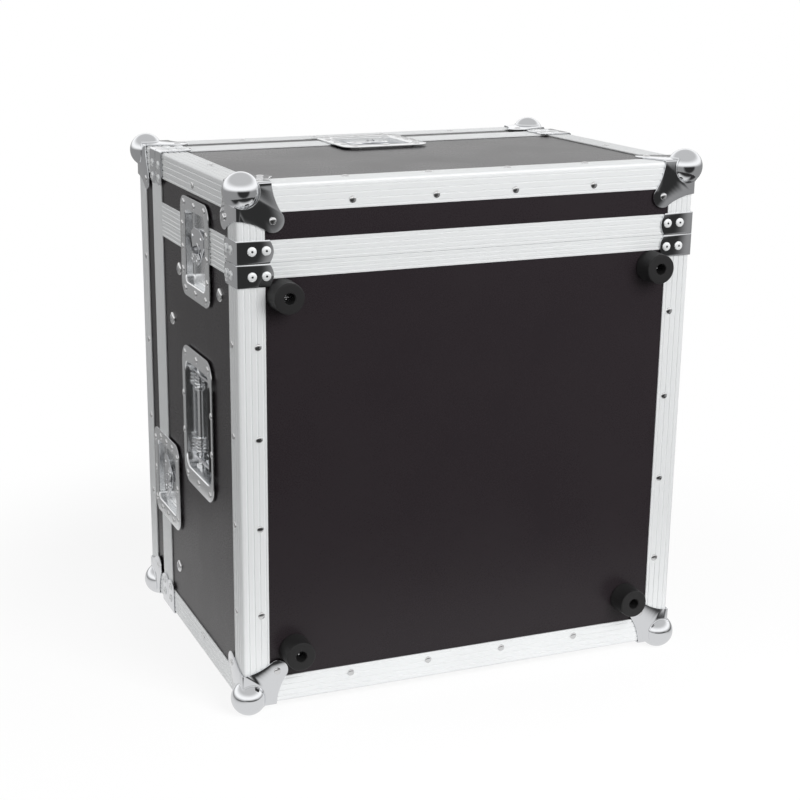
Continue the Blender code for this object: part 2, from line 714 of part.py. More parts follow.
def rail(length, bolts):
    """Rack rail with its bolts: x runs inward from the side wall, y along, z to the open side.

    The face flange has one long slot for sliding nuts, and its outer face is at z = 0.
    """
    wall = SIDE - RACK_CLEAR_WIDTH / 2 - SKIN - PANEL - SEAT
    middle = wall - RAIL_SLOT_INSET
    half = RAIL_SLOT_WIDTH / 2
    slot = rounded(middle - half, middle + half, RAIL_SLOT_END, length - RAIL_SLOT_END,
                   [half - SEAT] * 4, 2)
    face = plate(rounded(0, wall, 0, length, [0] * 4), -RAIL_METAL, 0, [slot[::-1]])
    joined = [box_mesh((0, 0, -RAIL_FLANGE), (RAIL_METAL, length, -RAIL_METAL / 2))]
    outside = SEAT + PANEL + SEAT
    for bolt in bolts:
        spot = Vector((0, bolt, -RAIL_FLANGE / 2))
        joined.append(cylinder_mesh(spot - X * (outside + BOLT_HEAD_HEIGHT / 3), X,
                                    BOLT_SHANK_RADIUS, outside + RAIL_METAL, RIVET_SIDES))
        joined.append(cylinder_mesh(spot + X * RAIL_METAL / 2, X, BOLT_RADIUS,
                                    NUT_HEIGHT, RIVET_SIDES))
        head = bmesh.new()
        add_cone(head, spot - X * outside, -X, BOLT_RADIUS, BOLT_RADIUS * BOLT_HEAD_TAPER,
                 BOLT_HEAD_HEIGHT, POST_SEGMENTS)
        joined.append(mesh_of(head))
    return combined(face, joined, "UNION")


RAILS = [
    ("left_top_rack_rail", TOP_RAIL_LENGTH, TOP_RAIL_BOLTS),
    ("right_top_rack_rail", TOP_RAIL_LENGTH, TOP_RAIL_BOLTS),
    ("left_back_rack_rail", BACK_RAIL_LENGTH, BACK_RAIL_BOLTS),
    ("right_back_rack_rail", BACK_RAIL_LENGTH, BACK_RAIL_BOLTS),
]


def rail_frames():
    """Frames of the two top rails and the two back rails, in the order of RAILS."""
    inner = SIDE - SKIN - PANEL - SEAT
    top_face = LID_SPLIT - TOP_RAIL_BOLT_DROP + RAIL_FLANGE / 2
    back_face = COVER_SPLIT - BACK_RAIL_BOLT_INSET + RAIL_FLANGE / 2
    frames = [place((x, FRONT + TOP_RAIL_START, top_face), inward, Y, Z)
              for x, inward in ((-inner, X), (inner, -X))]
    frames += [place((x, back_face, BOTTOM + BACK_RAIL_START), inward, Z, Y)
               for x, inward in ((-inner, X), (inner, -X))]
    return frames


def make_rails():
    """Rack rails behind the two openings, bolted through the sides."""
    for (name, length, spots), frame in zip(RAILS, rail_frames()):
        show(name, moved(rail(length, spots), frame), STEEL)


def axis_empty(name, matrix):
    """An empty on a joint's axis, which carries the pieces that move on it."""
    holder = bpy.data.objects.new(name, None)
    parts.objects.link(holder)
    holder.matrix_world = matrix
    return holder


def carry(holder, holder_matrix, pieces):
    """Parent pieces to a holder, and leave them where they are."""
    for piece in pieces:
        piece.parent = holder
        piece.matrix_parent_inverse = holder_matrix.inverted()


def pressed_dish(flange, tray, opening, depth):
    """A flanged dish: its flange lies on the face, and its floor is depth behind it."""
    outer = plate(tray, -depth - DISH_METAL, SEAT + METAL)
    solid = combined(plate(flange, SEAT, SEAT + METAL), [outer], "UNION")
    return combined(solid, [plate(opening, -depth, SEAT + 3 * METAL)], "DIFFERENCE")


def handle_dish():
    """The dish that a handle folds into."""
    half_width, half_length = HANDLE_OPEN_WIDTH / 2, HANDLE_OPEN_LENGTH / 2
    flange = rounded(-HANDLE_WIDTH / 2, HANDLE_WIDTH / 2, -HANDLE_LENGTH / 2, HANDLE_LENGTH / 2,
                     [HANDLE_CORNER] * 4)
    opening = rounded(-half_width, half_width, -half_length, half_length,
                      [HANDLE_OPEN_CORNER] * 4)
    tray = rounded(-half_width - DISH_METAL, half_width + DISH_METAL,
                   -half_length - DISH_METAL, half_length + DISH_METAL,
                   [HANDLE_OPEN_CORNER + DISH_METAL] * 4)
    return pressed_dish(flange, tray, opening, HANDLE_DISH_DEPTH)


def hinge_rod():
    """The rod that a handle turns on, with its two collars, along Y."""
    half = HANDLE_OPEN_LENGTH / 2 + DISH_METAL / 2
    near = COLLAR_SPAN / 2 - COLLAR_WIDTH / 2
    far = near + COLLAR_WIDTH
    rod, collar = HINGE_ROD_RADIUS, COLLAR_RADIUS
    profile = [(0, half), (rod, half), (rod, far), (collar, far), (collar, near), (rod, near),
               (rod, -near), (collar, -near), (collar, -far), (rod, -far), (rod, -half),
               (0, -half)]
    return moved(turned(profile, ROD_SEGMENTS), place((0, 0, 0), Z, X, Y))


def spring_route(start, end, radius):
    """Points along one coil spring about the Y axis."""
    count = SPRING_CURLS * POINTS_PER_CURL
    return [Vector((radius * cos(tau * k / POINTS_PER_CURL), start + (end - start) * k / count,
                    radius * sin(tau * k / POINTS_PER_CURL))) for k in range(count + 1)]


def least_gap(points, wire):
    """Least clear gap between two turns of a wire of this radius."""
    half_turn = POINTS_PER_CURL // 2
    return min((points[a] - points[b]).length for a in range(len(points))
               for b in range(a + half_turn, len(points))) - 2 * wire


def wire_mesh(points, radius):
    """A round wire along points, with closed ends."""
    curve = bpy.data.curves.new("wire", "CURVE")
    curve.dimensions = "3D"
    curve.bevel_depth = radius
    curve.bevel_resolution = 1
    curve.use_fill_caps = True
    spline = curve.splines.new("POLY")
    spline.points.add(len(points) - 1)
    for point, spot in zip(spline.points, points):
        point.co = (*spot, 1)
    holder = bpy.data.objects.new("wire", curve)
    bpy.context.scene.collection.objects.link(holder)
    mesh = evaluated(holder)
    bpy.data.objects.remove(holder)
    weld(mesh)
    return mesh


def dish_with_hinge():
    """A handle's dish, with the rod through its ends, two collars and two coil springs.

    Each spring starts in its collar and ends just short of the bow's eye.
    """
    radius = HINGE_ROD_RADIUS + SPRING_WIRE + 2 * RUNNING_CLEARANCE
    start = COLLAR_SPAN / 2 + COLLAR_WIDTH / 2 - SPRING_WIRE / 2
    end = GRIP_LENGTH / 2 - SPRING_WIRE
    axis = Matrix.Translation((-HINGE_OFFSET, 0, -HINGE_DEPTH))
    solid = combined(handle_dish(), [moved(hinge_rod(), axis)], "UNION")
    for sign in (-1, 1):
        points = spring_route(sign * start, sign * end, radius)
        print(f"handle spring: least gap {least_gap(points, SPRING_WIRE) / MM:.2f} mm")
        solid = combined(solid, [moved(wire_mesh(points, SPRING_WIRE), axis)], "UNION")
    return solid


def handle_bow():
    """Steel bow, about its hinge: two arms with eyes, and a core through the grip."""
    eye, tip = BOW_EYE_RADIUS, BOW_ARM_WIDTH / 2
    outline = [(eye * cos(a), eye * sin(a)) for a in (radians(90 + 22.5 * k) for k in range(9))]
    outline += [(GRIP_DISTANCE + tip * cos(a), tip * sin(a))
                for a in (radians(-90 + 30 * k) for k in range(7))]
    hole = circle((0, 0), HINGE_ROD_RADIUS + RUNNING_CLEARANCE, ROD_SEGMENTS)[::-1]
    near = GRIP_LENGTH / 2 + SEAT
    turn = place((0, 0, 0), X, Z, -Y)
    arms = [moved(plate(outline, low, low + BOW_ARM, [hole]), turn)
            for low in (near, -near - BOW_ARM)]
    reach = near + BOW_ARM / 2
    core = cylinder_mesh((GRIP_DISTANCE, -reach, 0), Y, GRIP_CORE_RADIUS, 2 * reach, ROD_SEGMENTS)
    return combined(arms[0], [arms[1], core], "UNION")


def handle_grip():
    """Moulded grip round the bow's core, along Y and about its hinge."""
    half, bore = GRIP_LENGTH / 2, GRIP_CORE_RADIUS + SEAT
    profile = [(bore, half), (GRIP_RADIUS - METAL, half), (GRIP_RADIUS, half - METAL),
               (GRIP_RADIUS, METAL - half), (GRIP_RADIUS - METAL, -half), (bore, -half),
               (bore, half)]
    return moved(turned(profile, GRIP_SEGMENTS), place((GRIP_DISTANCE, 0, 0), Z, X, Y))


def make_handles():
    """A sprung handle in its dish on each side of the body."""
    dish, bow, grip = dish_with_hinge(), handle_bow(), handle_grip()
    for name, frame in HANDLES.items():
        axis = frame @ Matrix.Translation((-HINGE_OFFSET, 0, -HINGE_DEPTH))
        pieces = []
        for part, mesh, material, matrix in (
                ("dish", dish, ALUMINIUM, frame), ("bow", bow, CHROME, axis),
                ("grip", grip, RUBBER, axis)):
            piece = show(f"{name}_handle_{part}", mesh.copy(), material, smooth=True)
            piece.matrix_world = matrix
            pieces.append(piece)
        carry(axis_empty(f"{name}_handle_axis", axis), axis, pieces[1:])


def latch_dish(length, opening_length, toward):
    """Half of a latch's dish. toward is -1 for the fixed half and 1 for the strike half."""
    corner = LATCH_CORNER / 2

    def half(reach, across, radius, start):
        low, high = sorted((toward * start, toward * reach))
        radii = [radius, 0, 0, radius] if toward < 0 else [0, radius, radius, 0]
        return rounded(low, high, -across, across, radii)

    flange = half(length, LATCH_HALF_WIDTH, LATCH_CORNER, HALF_SEAT)
    tray = half(opening_length + DISH_METAL, LATCH_OPEN_HALF_WIDTH + DISH_METAL,
                corner + DISH_METAL, HALF_SEAT)
    opening = half(opening_length, LATCH_OPEN_HALF_WIDTH, corner, -RIM_WEB)
    return pressed_dish(flange, tray, opening, LATCH_DISH_DEPTH)


def latch_strike():
    """Strike half of a latch: its dish, with the lip that the hook's nose draws on.

    The lip's top stays just below the plate of the drawn hook.
    """
    dish = latch_dish(LATCH_STRIKE_LENGTH, LATCH_OPEN_STRIKE, 1)
    high = HOOK_NOSE_REACH - NOSE_METAL - 2 * SEAT
    drawn = HOOK_TOP + HOOK_METAL + HOOK_TRAVEL
    lip = box_mesh((high - LIP_METAL, -LIP_HALF_WIDTH, -LATCH_DISH_DEPTH - DISH_METAL / 2),
                   (high, LIP_HALF_WIDTH, -drawn - 2 * SEAT))
    return combined(dish, [lip], "UNION")


def nose_depth():
    """How deep the released hook's nose reaches: drawn in, it stands just off the floor."""
    return LATCH_DISH_DEPTH - NOSE_FLOOR_GAP - HOOK_TRAVEL


def latch_hook():
    """Hook plate with a hole for the post and a turned-in nose, about the post's foot."""
    wide, tail, nose = HOOK_HALF_WIDTH, HOOK_TAIL_HALF_WIDTH, NOSE_HALF_WIDTH
    front, back = HOOK_NOSE_REACH + POST_OFFSET, POST_OFFSET - HOOK_TAIL_REACH
    half = [(front, nose), (front - NOSE_METAL, nose + NOSE_METAL), (front - nose / 2, wide),
            (front - 1.5 * nose, wide), (back + tail / 3, tail), (back, tail * 0.7)]
    outline = [(x, -y) for x, y in half] + half[::-1]
    hole = circle((0, 0), POST_RADIUS + RUNNING_CLEARANCE, POST_SEGMENTS)[::-1]
    body = plate(outline, -HOOK_TOP - HOOK_METAL, -HOOK_TOP, [hole])
    tip = box_mesh((front - NOSE_METAL, -nose + SEAT, -nose_depth()),
                   (front, nose - SEAT, -HOOK_TOP - HOOK_METAL / 2))
    return combined(body, [tip], "UNION")


def latch_post():
    """Turning post: a cam at its foot, and a slotted head that the key hinges in."""
    foot = -LATCH_DISH_DEPTH + SEAT
    cam_top = -HOOK_TOP - HOOK_METAL - HOOK_TRAVEL - 2 * SEAT
    head = KEY_PIVOT_OUT + KEY_METAL / 2 + KEY_PIN_RADIUS
    post = cylinder_mesh((0, 0, foot), Z, POST_RADIUS, head - foot, POST_SEGMENTS)
    cam = cylinder_mesh((-CAM_OFFSET, 0, foot - SEAT / 3), Z, CAM_RADIUS,
                        cam_top - foot, POST_SEGMENTS)
    solid = combined(post, [cam], "UNION")
    half = KEY_WAIST + SEAT
    floor = KEY_PIVOT_OUT - KEY_METAL / 2 - KEY_PIN_RADIUS / 2
    slot = box_mesh((-2 * POST_RADIUS, -half, floor), (2 * POST_RADIUS, half, 2 * head))
    hole = cylinder_mesh((0, -2 * POST_RADIUS, KEY_PIVOT_OUT), Y, KEY_PIN_RADIUS + SEAT,
                         4 * POST_RADIUS, 8)
    return combined(solid, [slot, hole], "DIFFERENCE")


def latch_key():
    """Folding butterfly key, about its pin, lying toward -X."""
    turn = asin((KEY_LOBE_SPREAD - KEY_WAIST) / KEY_LOBE_RADIUS)
    sweep = pi + 2 * turn
    lobe = [(KEY_LOBE_OUT + KEY_LOBE_RADIUS * cos(a), KEY_LOBE_SPREAD + KEY_LOBE_RADIUS * sin(a))
            for a in (-turn + sweep * k / KEY_LOBE_POINTS for k in range(KEY_LOBE_POINTS + 1))]
    upper = lobe + [(-KEY_METAL / 2, KEY_WAIST)]
    outline = [(-x, y) for x, y in upper] + [(-x, -y) for x, y in upper[::-1]]
    blade = plate(outline, -KEY_METAL / 2, KEY_METAL / 2)
    reach = POST_RADIUS - RUNNING_CLEARANCE
    pin = cylinder_mesh((0, -reach, 0), Y, KEY_PIN_RADIUS, 2 * reach, 8)
    return combined(blade, [pin], "UNION")


def make_latches():
    """Five recessed butterfly latches, each with its strike half on the lid or the cover."""
    dish = latch_dish(LATCH_FIXED_LENGTH, LATCH_OPEN_FIXED, -1)
    hook, post, key, strike = latch_hook(), latch_post(), latch_key(), latch_strike()
    for name, frame in LATCHES.items():
        axis = frame @ Matrix.Translation((-POST_OFFSET, 0, 0))
        pivot = axis @ Matrix.Translation((0, 0, KEY_PIVOT_OUT))
        pieces = {}
        for part, mesh, material, matrix in (
                ("dish", dish, ALUMINIUM, frame), ("strike", strike, ALUMINIUM, frame),
                ("hook", hook, CHROME, axis), ("post", post, STEEL, axis),
                ("key", key, CHROME, pivot)):
            piece = show(f"{name}_latch_{part}", mesh.copy(), material)
            piece.matrix_world = matrix
            pieces[part] = piece
        carry(pieces["post"], axis, [pieces["key"]])


def carry_shells():
    """Let the lid and the cover each move as one."""
    for shell_name, spot in (("lid", (0, 0, LID_SPLIT)), ("cover", (0, COVER_SPLIT, 0))):
        matrix = Matrix.Translation(spot)
        pieces = []
        for piece in list(parts.objects):
            own = piece.name.startswith(shell_name + "_")
            strike = piece.name.endswith(f"_{shell_name}_latch_strike")
            ridden = shell_name == "lid" and piece.name.startswith("top_cover_latch")
            carried = ridden and not piece.name.endswith("_strike")
            if piece.parent is None and (own or strike or carried):
                pieces.append(piece)
        carry(axis_empty(f"{shell_name}_axis", matrix), matrix, pieces)


make_panels()
make_edging()
make_rims()
make_ball_corners()
make_feet()
make_rails()
make_handles()
make_latches()
carry_shells()
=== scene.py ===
"""Looks of the flight case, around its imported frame.

The laminated panels and the rack rails of the frame stay and get their finishes. The edging,
the closing rims, the corners, the feet, the handles and the latches are replaced by finer pieces.
Units are metres, +Z is up, and the case stands on its end with its rubber feet toward -Y.
"""

import json
import logging
from collections.abc import Iterable, Sequence
from dataclasses import dataclass, field
from enum import Enum
from math import asin, cos, pi, radians, sin, sqrt, tau

import bmesh
import bpy
from mathutils import Matrix, Vector

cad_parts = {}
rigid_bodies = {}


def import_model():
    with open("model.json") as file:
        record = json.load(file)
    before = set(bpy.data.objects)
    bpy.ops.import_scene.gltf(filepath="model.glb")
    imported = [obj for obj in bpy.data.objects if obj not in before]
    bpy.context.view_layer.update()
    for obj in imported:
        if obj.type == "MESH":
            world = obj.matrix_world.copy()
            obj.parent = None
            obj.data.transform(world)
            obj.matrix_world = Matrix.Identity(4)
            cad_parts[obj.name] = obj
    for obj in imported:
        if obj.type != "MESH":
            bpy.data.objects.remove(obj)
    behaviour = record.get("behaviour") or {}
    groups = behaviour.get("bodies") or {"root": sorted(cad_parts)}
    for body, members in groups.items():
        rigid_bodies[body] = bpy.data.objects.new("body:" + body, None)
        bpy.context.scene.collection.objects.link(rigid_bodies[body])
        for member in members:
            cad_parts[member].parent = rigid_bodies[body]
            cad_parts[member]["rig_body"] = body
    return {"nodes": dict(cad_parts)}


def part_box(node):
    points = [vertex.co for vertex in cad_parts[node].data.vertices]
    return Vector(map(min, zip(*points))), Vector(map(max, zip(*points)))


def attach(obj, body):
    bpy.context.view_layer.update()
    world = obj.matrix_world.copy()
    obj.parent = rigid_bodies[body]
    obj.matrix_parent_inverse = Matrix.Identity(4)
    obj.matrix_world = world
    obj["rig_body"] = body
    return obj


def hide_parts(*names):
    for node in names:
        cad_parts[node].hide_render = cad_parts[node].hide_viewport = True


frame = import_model()

log = logging.getLogger("flight_case")

MM = 0.001
POLE = 1e-7
Point2 = tuple[float, float]
Colour = tuple[float, float, float]
Placed = tuple[bpy.types.Mesh, Matrix]
X, Y, Z = Vector((1, 0, 0)), Vector((0, 1, 0)), Vector((0, 0, 1))
HERE = Matrix.Identity(4)


@dataclass(frozen=True)
class CaseSizes:
    """The case's outer faces, splits and walls, as in its frame."""

    front: float
    bottom: float
    side: float = 265 * MM
    depth: float = 387 * MM
    height: float = 570 * MM
    lid_height: float = 81 * MM
    cover_depth: float = 83 * MM
    metal: float = 1.5 * MM
    seat: float = 0.3 * MM
    wall: float = 12.6 * MM
    body_band: float = 16.5 * MM
    cap_band: float = 23 * MM

    @property
    def half_seat(self) -> float:
        """Half of the gap that stays open at a split."""
        return self.seat / 2

    @property
    def skin(self) -> float:
        """How far the fittings' sheet metal stands over the outer faces."""
        return self.metal + self.seat

    @property
    def back(self) -> float:
        """Outer face of the cover's back."""
        return self.front + self.depth

    @property
    def top(self) -> float:
        """Outer face of the lid's top."""
        return self.bottom + self.height

    @property
    def lid_split(self) -> float:
        """Height of the split under the lid."""
        return self.top - self.lid_height

    @property
    def cover_split(self) -> float:
        """Place along Y of the split before the cover."""
        return self.back - self.cover_depth


PANEL_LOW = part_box("body_front_panel")[0]
PANEL_BEHIND = 1.8 * MM
CASE = CaseSizes(PANEL_LOW[1] - PANEL_BEHIND, PANEL_LOW[2] - PANEL_BEHIND)


class Shell(Enum):
    """The three shells of the case, named as the bodies that carry them."""

    BODY = "body"
    LID = "lid"
    COVER = "cover"


def place(origin: Iterable[float], x_axis: Vector, y_axis: Vector, z_axis: Vector) -> Matrix:
    """Matrix that takes a local frame to the case's frame.

    Args:
        origin: where the local frame's origin lies in the case.
        x_axis: its X axis there.
        y_axis: its Y axis there.
        z_axis: its Z axis there.

    Returns:
        The matrix.
    """
    matrix = Matrix((x_axis, y_axis, z_axis)).transposed().to_4x4()
    matrix.translation = Vector(origin)
    return matrix


LID_LATCH_DEEP = CASE.front + 148 * MM
COVER_LATCH_HIGH = CASE.bottom + 173 * MM
HANDLE_DEEP = CASE.front + 152 * MM
HANDLE_HIGH = CASE.bottom + 282 * MM
LATCH_FRAMES = {
    "left_lid": place((-CASE.side, LID_LATCH_DEEP, CASE.lid_split), Z, Y, -X),
    "right_lid": place((CASE.side, LID_LATCH_DEEP, CASE.lid_split), Z, -Y, X),
    "left_cover": place((-CASE.side, CASE.cover_split, COVER_LATCH_HIGH), Y, -Z, -X),
    "right_cover": place((CASE.side, CASE.cover_split, COVER_LATCH_HIGH), Y, Z, X),
    "top_cover": place((0, CASE.cover_split, CASE.top), Y, -X, Z),
}
HANDLE_FRAMES = {
    "left": place((-CASE.side, HANDLE_DEEP, HANDLE_HIGH), -Y, Z, -X),
    "right": place((CASE.side, HANDLE_DEEP, HANDLE_HIGH), -Y, -Z, X),
}


class NodeShop:
    """Adds nodes and links to one node tree."""

    def __init__(self, tree: bpy.types.NodeTree) -> None:
        """Keep the tree that is built."""
        self.tree = tree

    def node(self, kind: str, **settings: object) -> bpy.types.Node:
        """Add a node and set its options.

        Args:
            kind: the node's type name.
            settings: options of the node, by name.

        Returns:
            The new node.
        """
        made = self.tree.nodes.new(kind)
        for name, value in settings.items():
            setattr(made, name, value)
        return made

    def link(self, source: bpy.types.NodeSocket, target: bpy.types.NodeSocket) -> None:
        """Link an output to an input."""
        self.tree.links.new(source, target)

    def maths(self, operation: str, first: object, second: object = None) -> bpy.types.NodeSocket:
        """Add a Math node.

        Args:
            operation: what it works out.
            first: a socket or a number.
            second: a socket or a number, where the operation needs one.

        Returns:
            The result's socket.
        """
        made = self.node("ShaderNodeMath", operation=operation)
        for socket, value in zip(made.inputs, (first, second)):
            if isinstance(value, bpy.types.NodeSocket):
                self.link(value, socket)
            elif value is not None:
                socket.default_value = value
        return made.outputs[0]


@dataclass(frozen=True)
class Finish:
    """A finish with fine grain, uneven gloss and slow changes of tone."""

    name: str
    slot: str
    colour: Colour
    worn: Colour
    metallic: float
    roughness: tuple[float, float]
    grain: float
    relief: float
    specular: float = 0.5
    grain_detail: float = 4
    cloud_scale: float = 9
    cloud_detail: float = 6
    gloss_span: tuple[float, float] = (0.1, 0.45)
    relief_strength: float = 0.25

    def material(self) -> bpy.types.Material:
        """Build the finish's material, once.

        Returns:
            The material.
        """
        known = bpy.data.materials.get(self.name)
        if known:
            return known
        made = bpy.data.materials.new(self.name)
        made.use_nodes = True
        shop = NodeShop(made.node_tree)
        shader = made.node_tree.nodes["Principled BSDF"]
        shader.inputs["Metallic"].default_value = self.metallic
        shader.inputs["Specular IOR Level"].default_value = self.specular
        where = shop.node("ShaderNodeTexCoord")
        slow = shop.node("ShaderNodeTexNoise")
        slow.inputs["Scale"].default_value = self.cloud_scale
        slow.inputs["Detail"].default_value = self.cloud_detail
        shop.link(where.outputs["Object"], slow.inputs["Vector"])
        fine = shop.node("ShaderNodeTexNoise")
        fine.inputs["Scale"].default_value = self.grain
        fine.inputs["Detail"].default_value = self.grain_detail
        shop.link(where.outputs["Object"], fine.inputs["Vector"])
        tone = shop.node("ShaderNodeMix", data_type="RGBA")
        tone.inputs["A"].default_value = (*self.colour, 1)
        tone.inputs["B"].default_value = (*self.worn, 1)
        shop.link(slow.outputs["Fac"], tone.inputs["Factor"])
        shop.link(tone.outputs["Result"], shader.inputs["Base Color"])
        mixed = shop.maths("MULTIPLY", slow.outputs["Fac"], fine.outputs["Fac"])
        gloss = shop.node("ShaderNodeMapRange")
        gloss.inputs["From Min"].default_value = self.gloss_span[0]
        gloss.inputs["From Max"].default_value = self.gloss_span[1]
        gloss.inputs["To Min"].default_value = self.roughness[0]
        gloss.inputs["To Max"].default_value = self.roughness[1]
        shop.link(mixed, gloss.inputs["Value"])
        shop.link(gloss.outputs["Result"], shader.inputs["Roughness"])
        bump = shop.node("ShaderNodeBump")
        bump.inputs["Strength"].default_value = self.relief_strength
        bump.inputs["Distance"].default_value = self.relief
        shop.link(fine.outputs["Fac"], bump.inputs["Height"])
        shop.link(bump.outputs["Normal"], shader.inputs["Normal"])
        return made


LAMINATE = Finish("laminate_finish", "laminate", (0.0125, 0.0098, 0.0116), (0.0150, 0.0120, 0.0136),
                  0, (0.24, 0.34), 900, 0.06 * MM, specular=0.25)
ALUMINIUM = Finish("aluminium_finish", "aluminium", (0.80, 0.815, 0.82), (0.74, 0.75, 0.755),
                   0.55, (0.36, 0.52), 500, 0.05 * MM)
CHROME = Finish("chrome_finish", "chrome", (0.84, 0.85, 0.87), (0.80, 0.81, 0.83),
                1, (0.05, 0.11), 160, 0.02 * MM)
NICKEL = Finish("nickel_finish", "chrome", (0.86, 0.87, 0.88), (0.78, 0.79, 0.80),
                0.94, (0.12, 0.24), 260, 0.03 * MM)
RIVET = Finish("rivet_finish", "steel", (0.86, 0.86, 0.86), (0.74, 0.74, 0.75),
               1, (0.12, 0.24), 700, 0.02 * MM)
STEEL = Finish("steel_finish", "steel", (0.50, 0.51, 0.53), (0.42, 0.42, 0.43),
               1, (0.28, 0.42), 400, 0.04 * MM)
DARK_STEEL = Finish("dark_steel_finish", "steel", (0.035, 0.035, 0.037), (0.06, 0.06, 0.06),
                    1, (0.35, 0.5), 600, 0.03 * MM)
RUBBER = Finish("rubber_finish", "rubber", (0.0085, 0.0085, 0.009), (0.015, 0.0145, 0.0145),
                0, (0.48, 0.66), 1100, 0.12 * MM, specular=0.3)


def mesh_of(shape: bmesh.types.BMesh, name: str = "shape") -> bpy.types.Mesh:
    """Turn a bmesh with closed shells into a mesh whose faces point out, and free it.

    Args:
        shape: the closed shells.
        name: the mesh's name.

    Returns:
        The mesh.
    """
    bmesh.ops.recalc_face_normals(shape, faces=shape.faces)
    mesh = bpy.data.meshes.new(name)
    shape.to_mesh(mesh)
    shape.free()
    return mesh


def joined(parts: Iterable[Placed]) -> bpy.types.Mesh:
    """One mesh of several closed meshes, each in its place.

    Args:
        parts: meshes with the matrices of their places.

    Returns:
        The joined mesh.
    """
    shape = bmesh.new()
    for mesh, matrix in parts:
        first = len(shape.verts)
        shape.from_mesh(mesh)
        shape.verts.ensure_lookup_table()
        bmesh.ops.transform(shape, matrix=matrix, verts=shape.verts[first:])
    return mesh_of(shape)


def moved(mesh: bpy.types.Mesh, matrix: Matrix) -> bpy.types.Mesh:
    """A copy of a mesh in another place."""
    return joined([(mesh, matrix)])


def evaluated(holder: bpy.types.Object) -> bpy.types.Mesh:
    """The finished mesh of an object, with its modifiers; the object goes.

    Args:
        holder: an object that is in the scene.

    Returns:
        The plain mesh.
    """
    bpy.context.view_layer.update()
    depsgraph = bpy.context.evaluated_depsgraph_get()
    mesh = bpy.data.meshes.new_from_object(holder.evaluated_get(depsgraph))
    holder.modifiers.clear()
    bpy.data.objects.remove(holder)
    return mesh


def held(mesh: bpy.types.Mesh, name: str = "holder") -> bpy.types.Object:
    """Put a mesh in the scene for a while, to work on it with modifiers.

    Args:
        mesh: the mesh.
        name: the name of its object.

    Returns:
        The object that holds it.
    """
    holder = bpy.data.objects.new(name, mesh)
    bpy.context.scene.collection.objects.link(holder)
    return holder


def softened(mesh: bpy.types.Mesh, width: float, segments: int = 2,
             angle: float = 40) -> bpy.types.Mesh:
    """A copy of a mesh with its sharp edges rounded.

    Args:
        mesh: a closed mesh.
        width: how far the rounding reaches from each edge.
        segments: how many faces go round each edge.
        angle: edges that turn by more degrees than this are rounded.

    Returns:
        The rounded mesh.
    """
    holder = held(mesh)
    step = holder.modifiers.new("rounding", "BEVEL")
    step.width = width
    step.segments = segments
    step.limit_method = "ANGLE"
    step.angle_limit = radians(angle)
    step.miter_outer = "MITER_ARC"
    return evaluated(holder)


def cut(mesh: bpy.types.Mesh, tools: Iterable[bpy.types.Mesh],
        operation: str = "DIFFERENCE") -> bpy.types.Mesh:
    """A mesh less some closed tools, or joined to them.

    Args:
        mesh: a closed mesh.
        tools: closed meshes in the same frame.
        operation: the Boolean operation.

    Returns:
        The resulting mesh.
    """
    helpers = [held(tool, "tool") for tool in tools]
    holder = held(mesh)
    for helper in helpers:
        step = holder.modifiers.new("step", "BOOLEAN")
        step.operation = operation
        step.solver = "MANIFOLD"
        step.object = helper
    result = evaluated(holder)
    for helper in helpers:
        bpy.data.objects.remove(helper)
    return result


def block(low: Sequence[float], high: Sequence[float]) -> bpy.types.Mesh:
    """Mesh of a box between two corners.

    Args:
        low: its lowest corner.
        high: its highest corner.

    Returns:
        A closed mesh.
    """
    shape = bmesh.new()
    size = [b - a for a, b in zip(low, high)]
    middle = [(a + b) / 2 for a, b in zip(low, high)]
    bmesh.ops.create_cube(shape, size=1, matrix=Matrix.Translation(middle)
                          @ Matrix.Diagonal((*size, 1)))
    return mesh_of(shape)


def arc(centre: Point2, radius: float, start: float, end: float, steps: int) -> list[Point2]:
    """Points along an arc, with both ends.

    Args:
        centre: its centre.
        radius: its radius.
        start: where it starts, in degrees.
        end: where it ends, in degrees.
        steps: how many edges it has.

    Returns:
        Its points.
    """
    turn = (radians(start + (end - start) * k / steps) for k in range(steps + 1))
    return [(centre[0] + radius * cos(a), centre[1] + radius * sin(a)) for a in turn]


def rounded(x_low: float, x_high: float, y_low: float, y_high: float, radius: float,
            steps: int = 10) -> list[Point2]:
    """Outline of a rectangle with round corners, counter-clockwise.

    Args:
        x_low: its lowest x.
        x_high: its highest x.
        y_low: its lowest y.
        y_high: its highest y.
        radius: the radius of its corners.
        steps: how many edges go round a corner.

    Returns:
        Its points.
    """
    return (arc((x_high - radius, y_high - radius), radius, 0, 90, steps)
            + arc((x_low + radius, y_high - radius), radius, 90, 180, steps)
            + arc((x_low + radius, y_low + radius), radius, 180, 270, steps)
            + arc((x_high - radius, y_low + radius), radius, 270, 360, steps))


def loft(rings: Sequence[Sequence[Vector]], closed: bool = False) -> bpy.types.Mesh:
    """Skin over rings that have the same number of points.

    Args:
        rings: the rings in order.
        closed: join the last ring to the first one; otherwise both ends are capped.

    Returns:
        A closed mesh.
    """
    shape = bmesh.new()
    rows = [[shape.verts.new(point) for point in ring] for ring in rings]
    pairs = list(zip(rows, rows[1:]))
    if closed:
        pairs.append((rows[-1], rows[0]))
    for first, second in pairs:
        count = len(first)
        for k in range(count):
            n = (k + 1) % count
            shape.faces.new((first[k], first[n], second[n], second[k]))
    if not closed:
        shape.faces.new(rows[0])
        shape.faces.new(rows[-1])
    return mesh_of(shape)


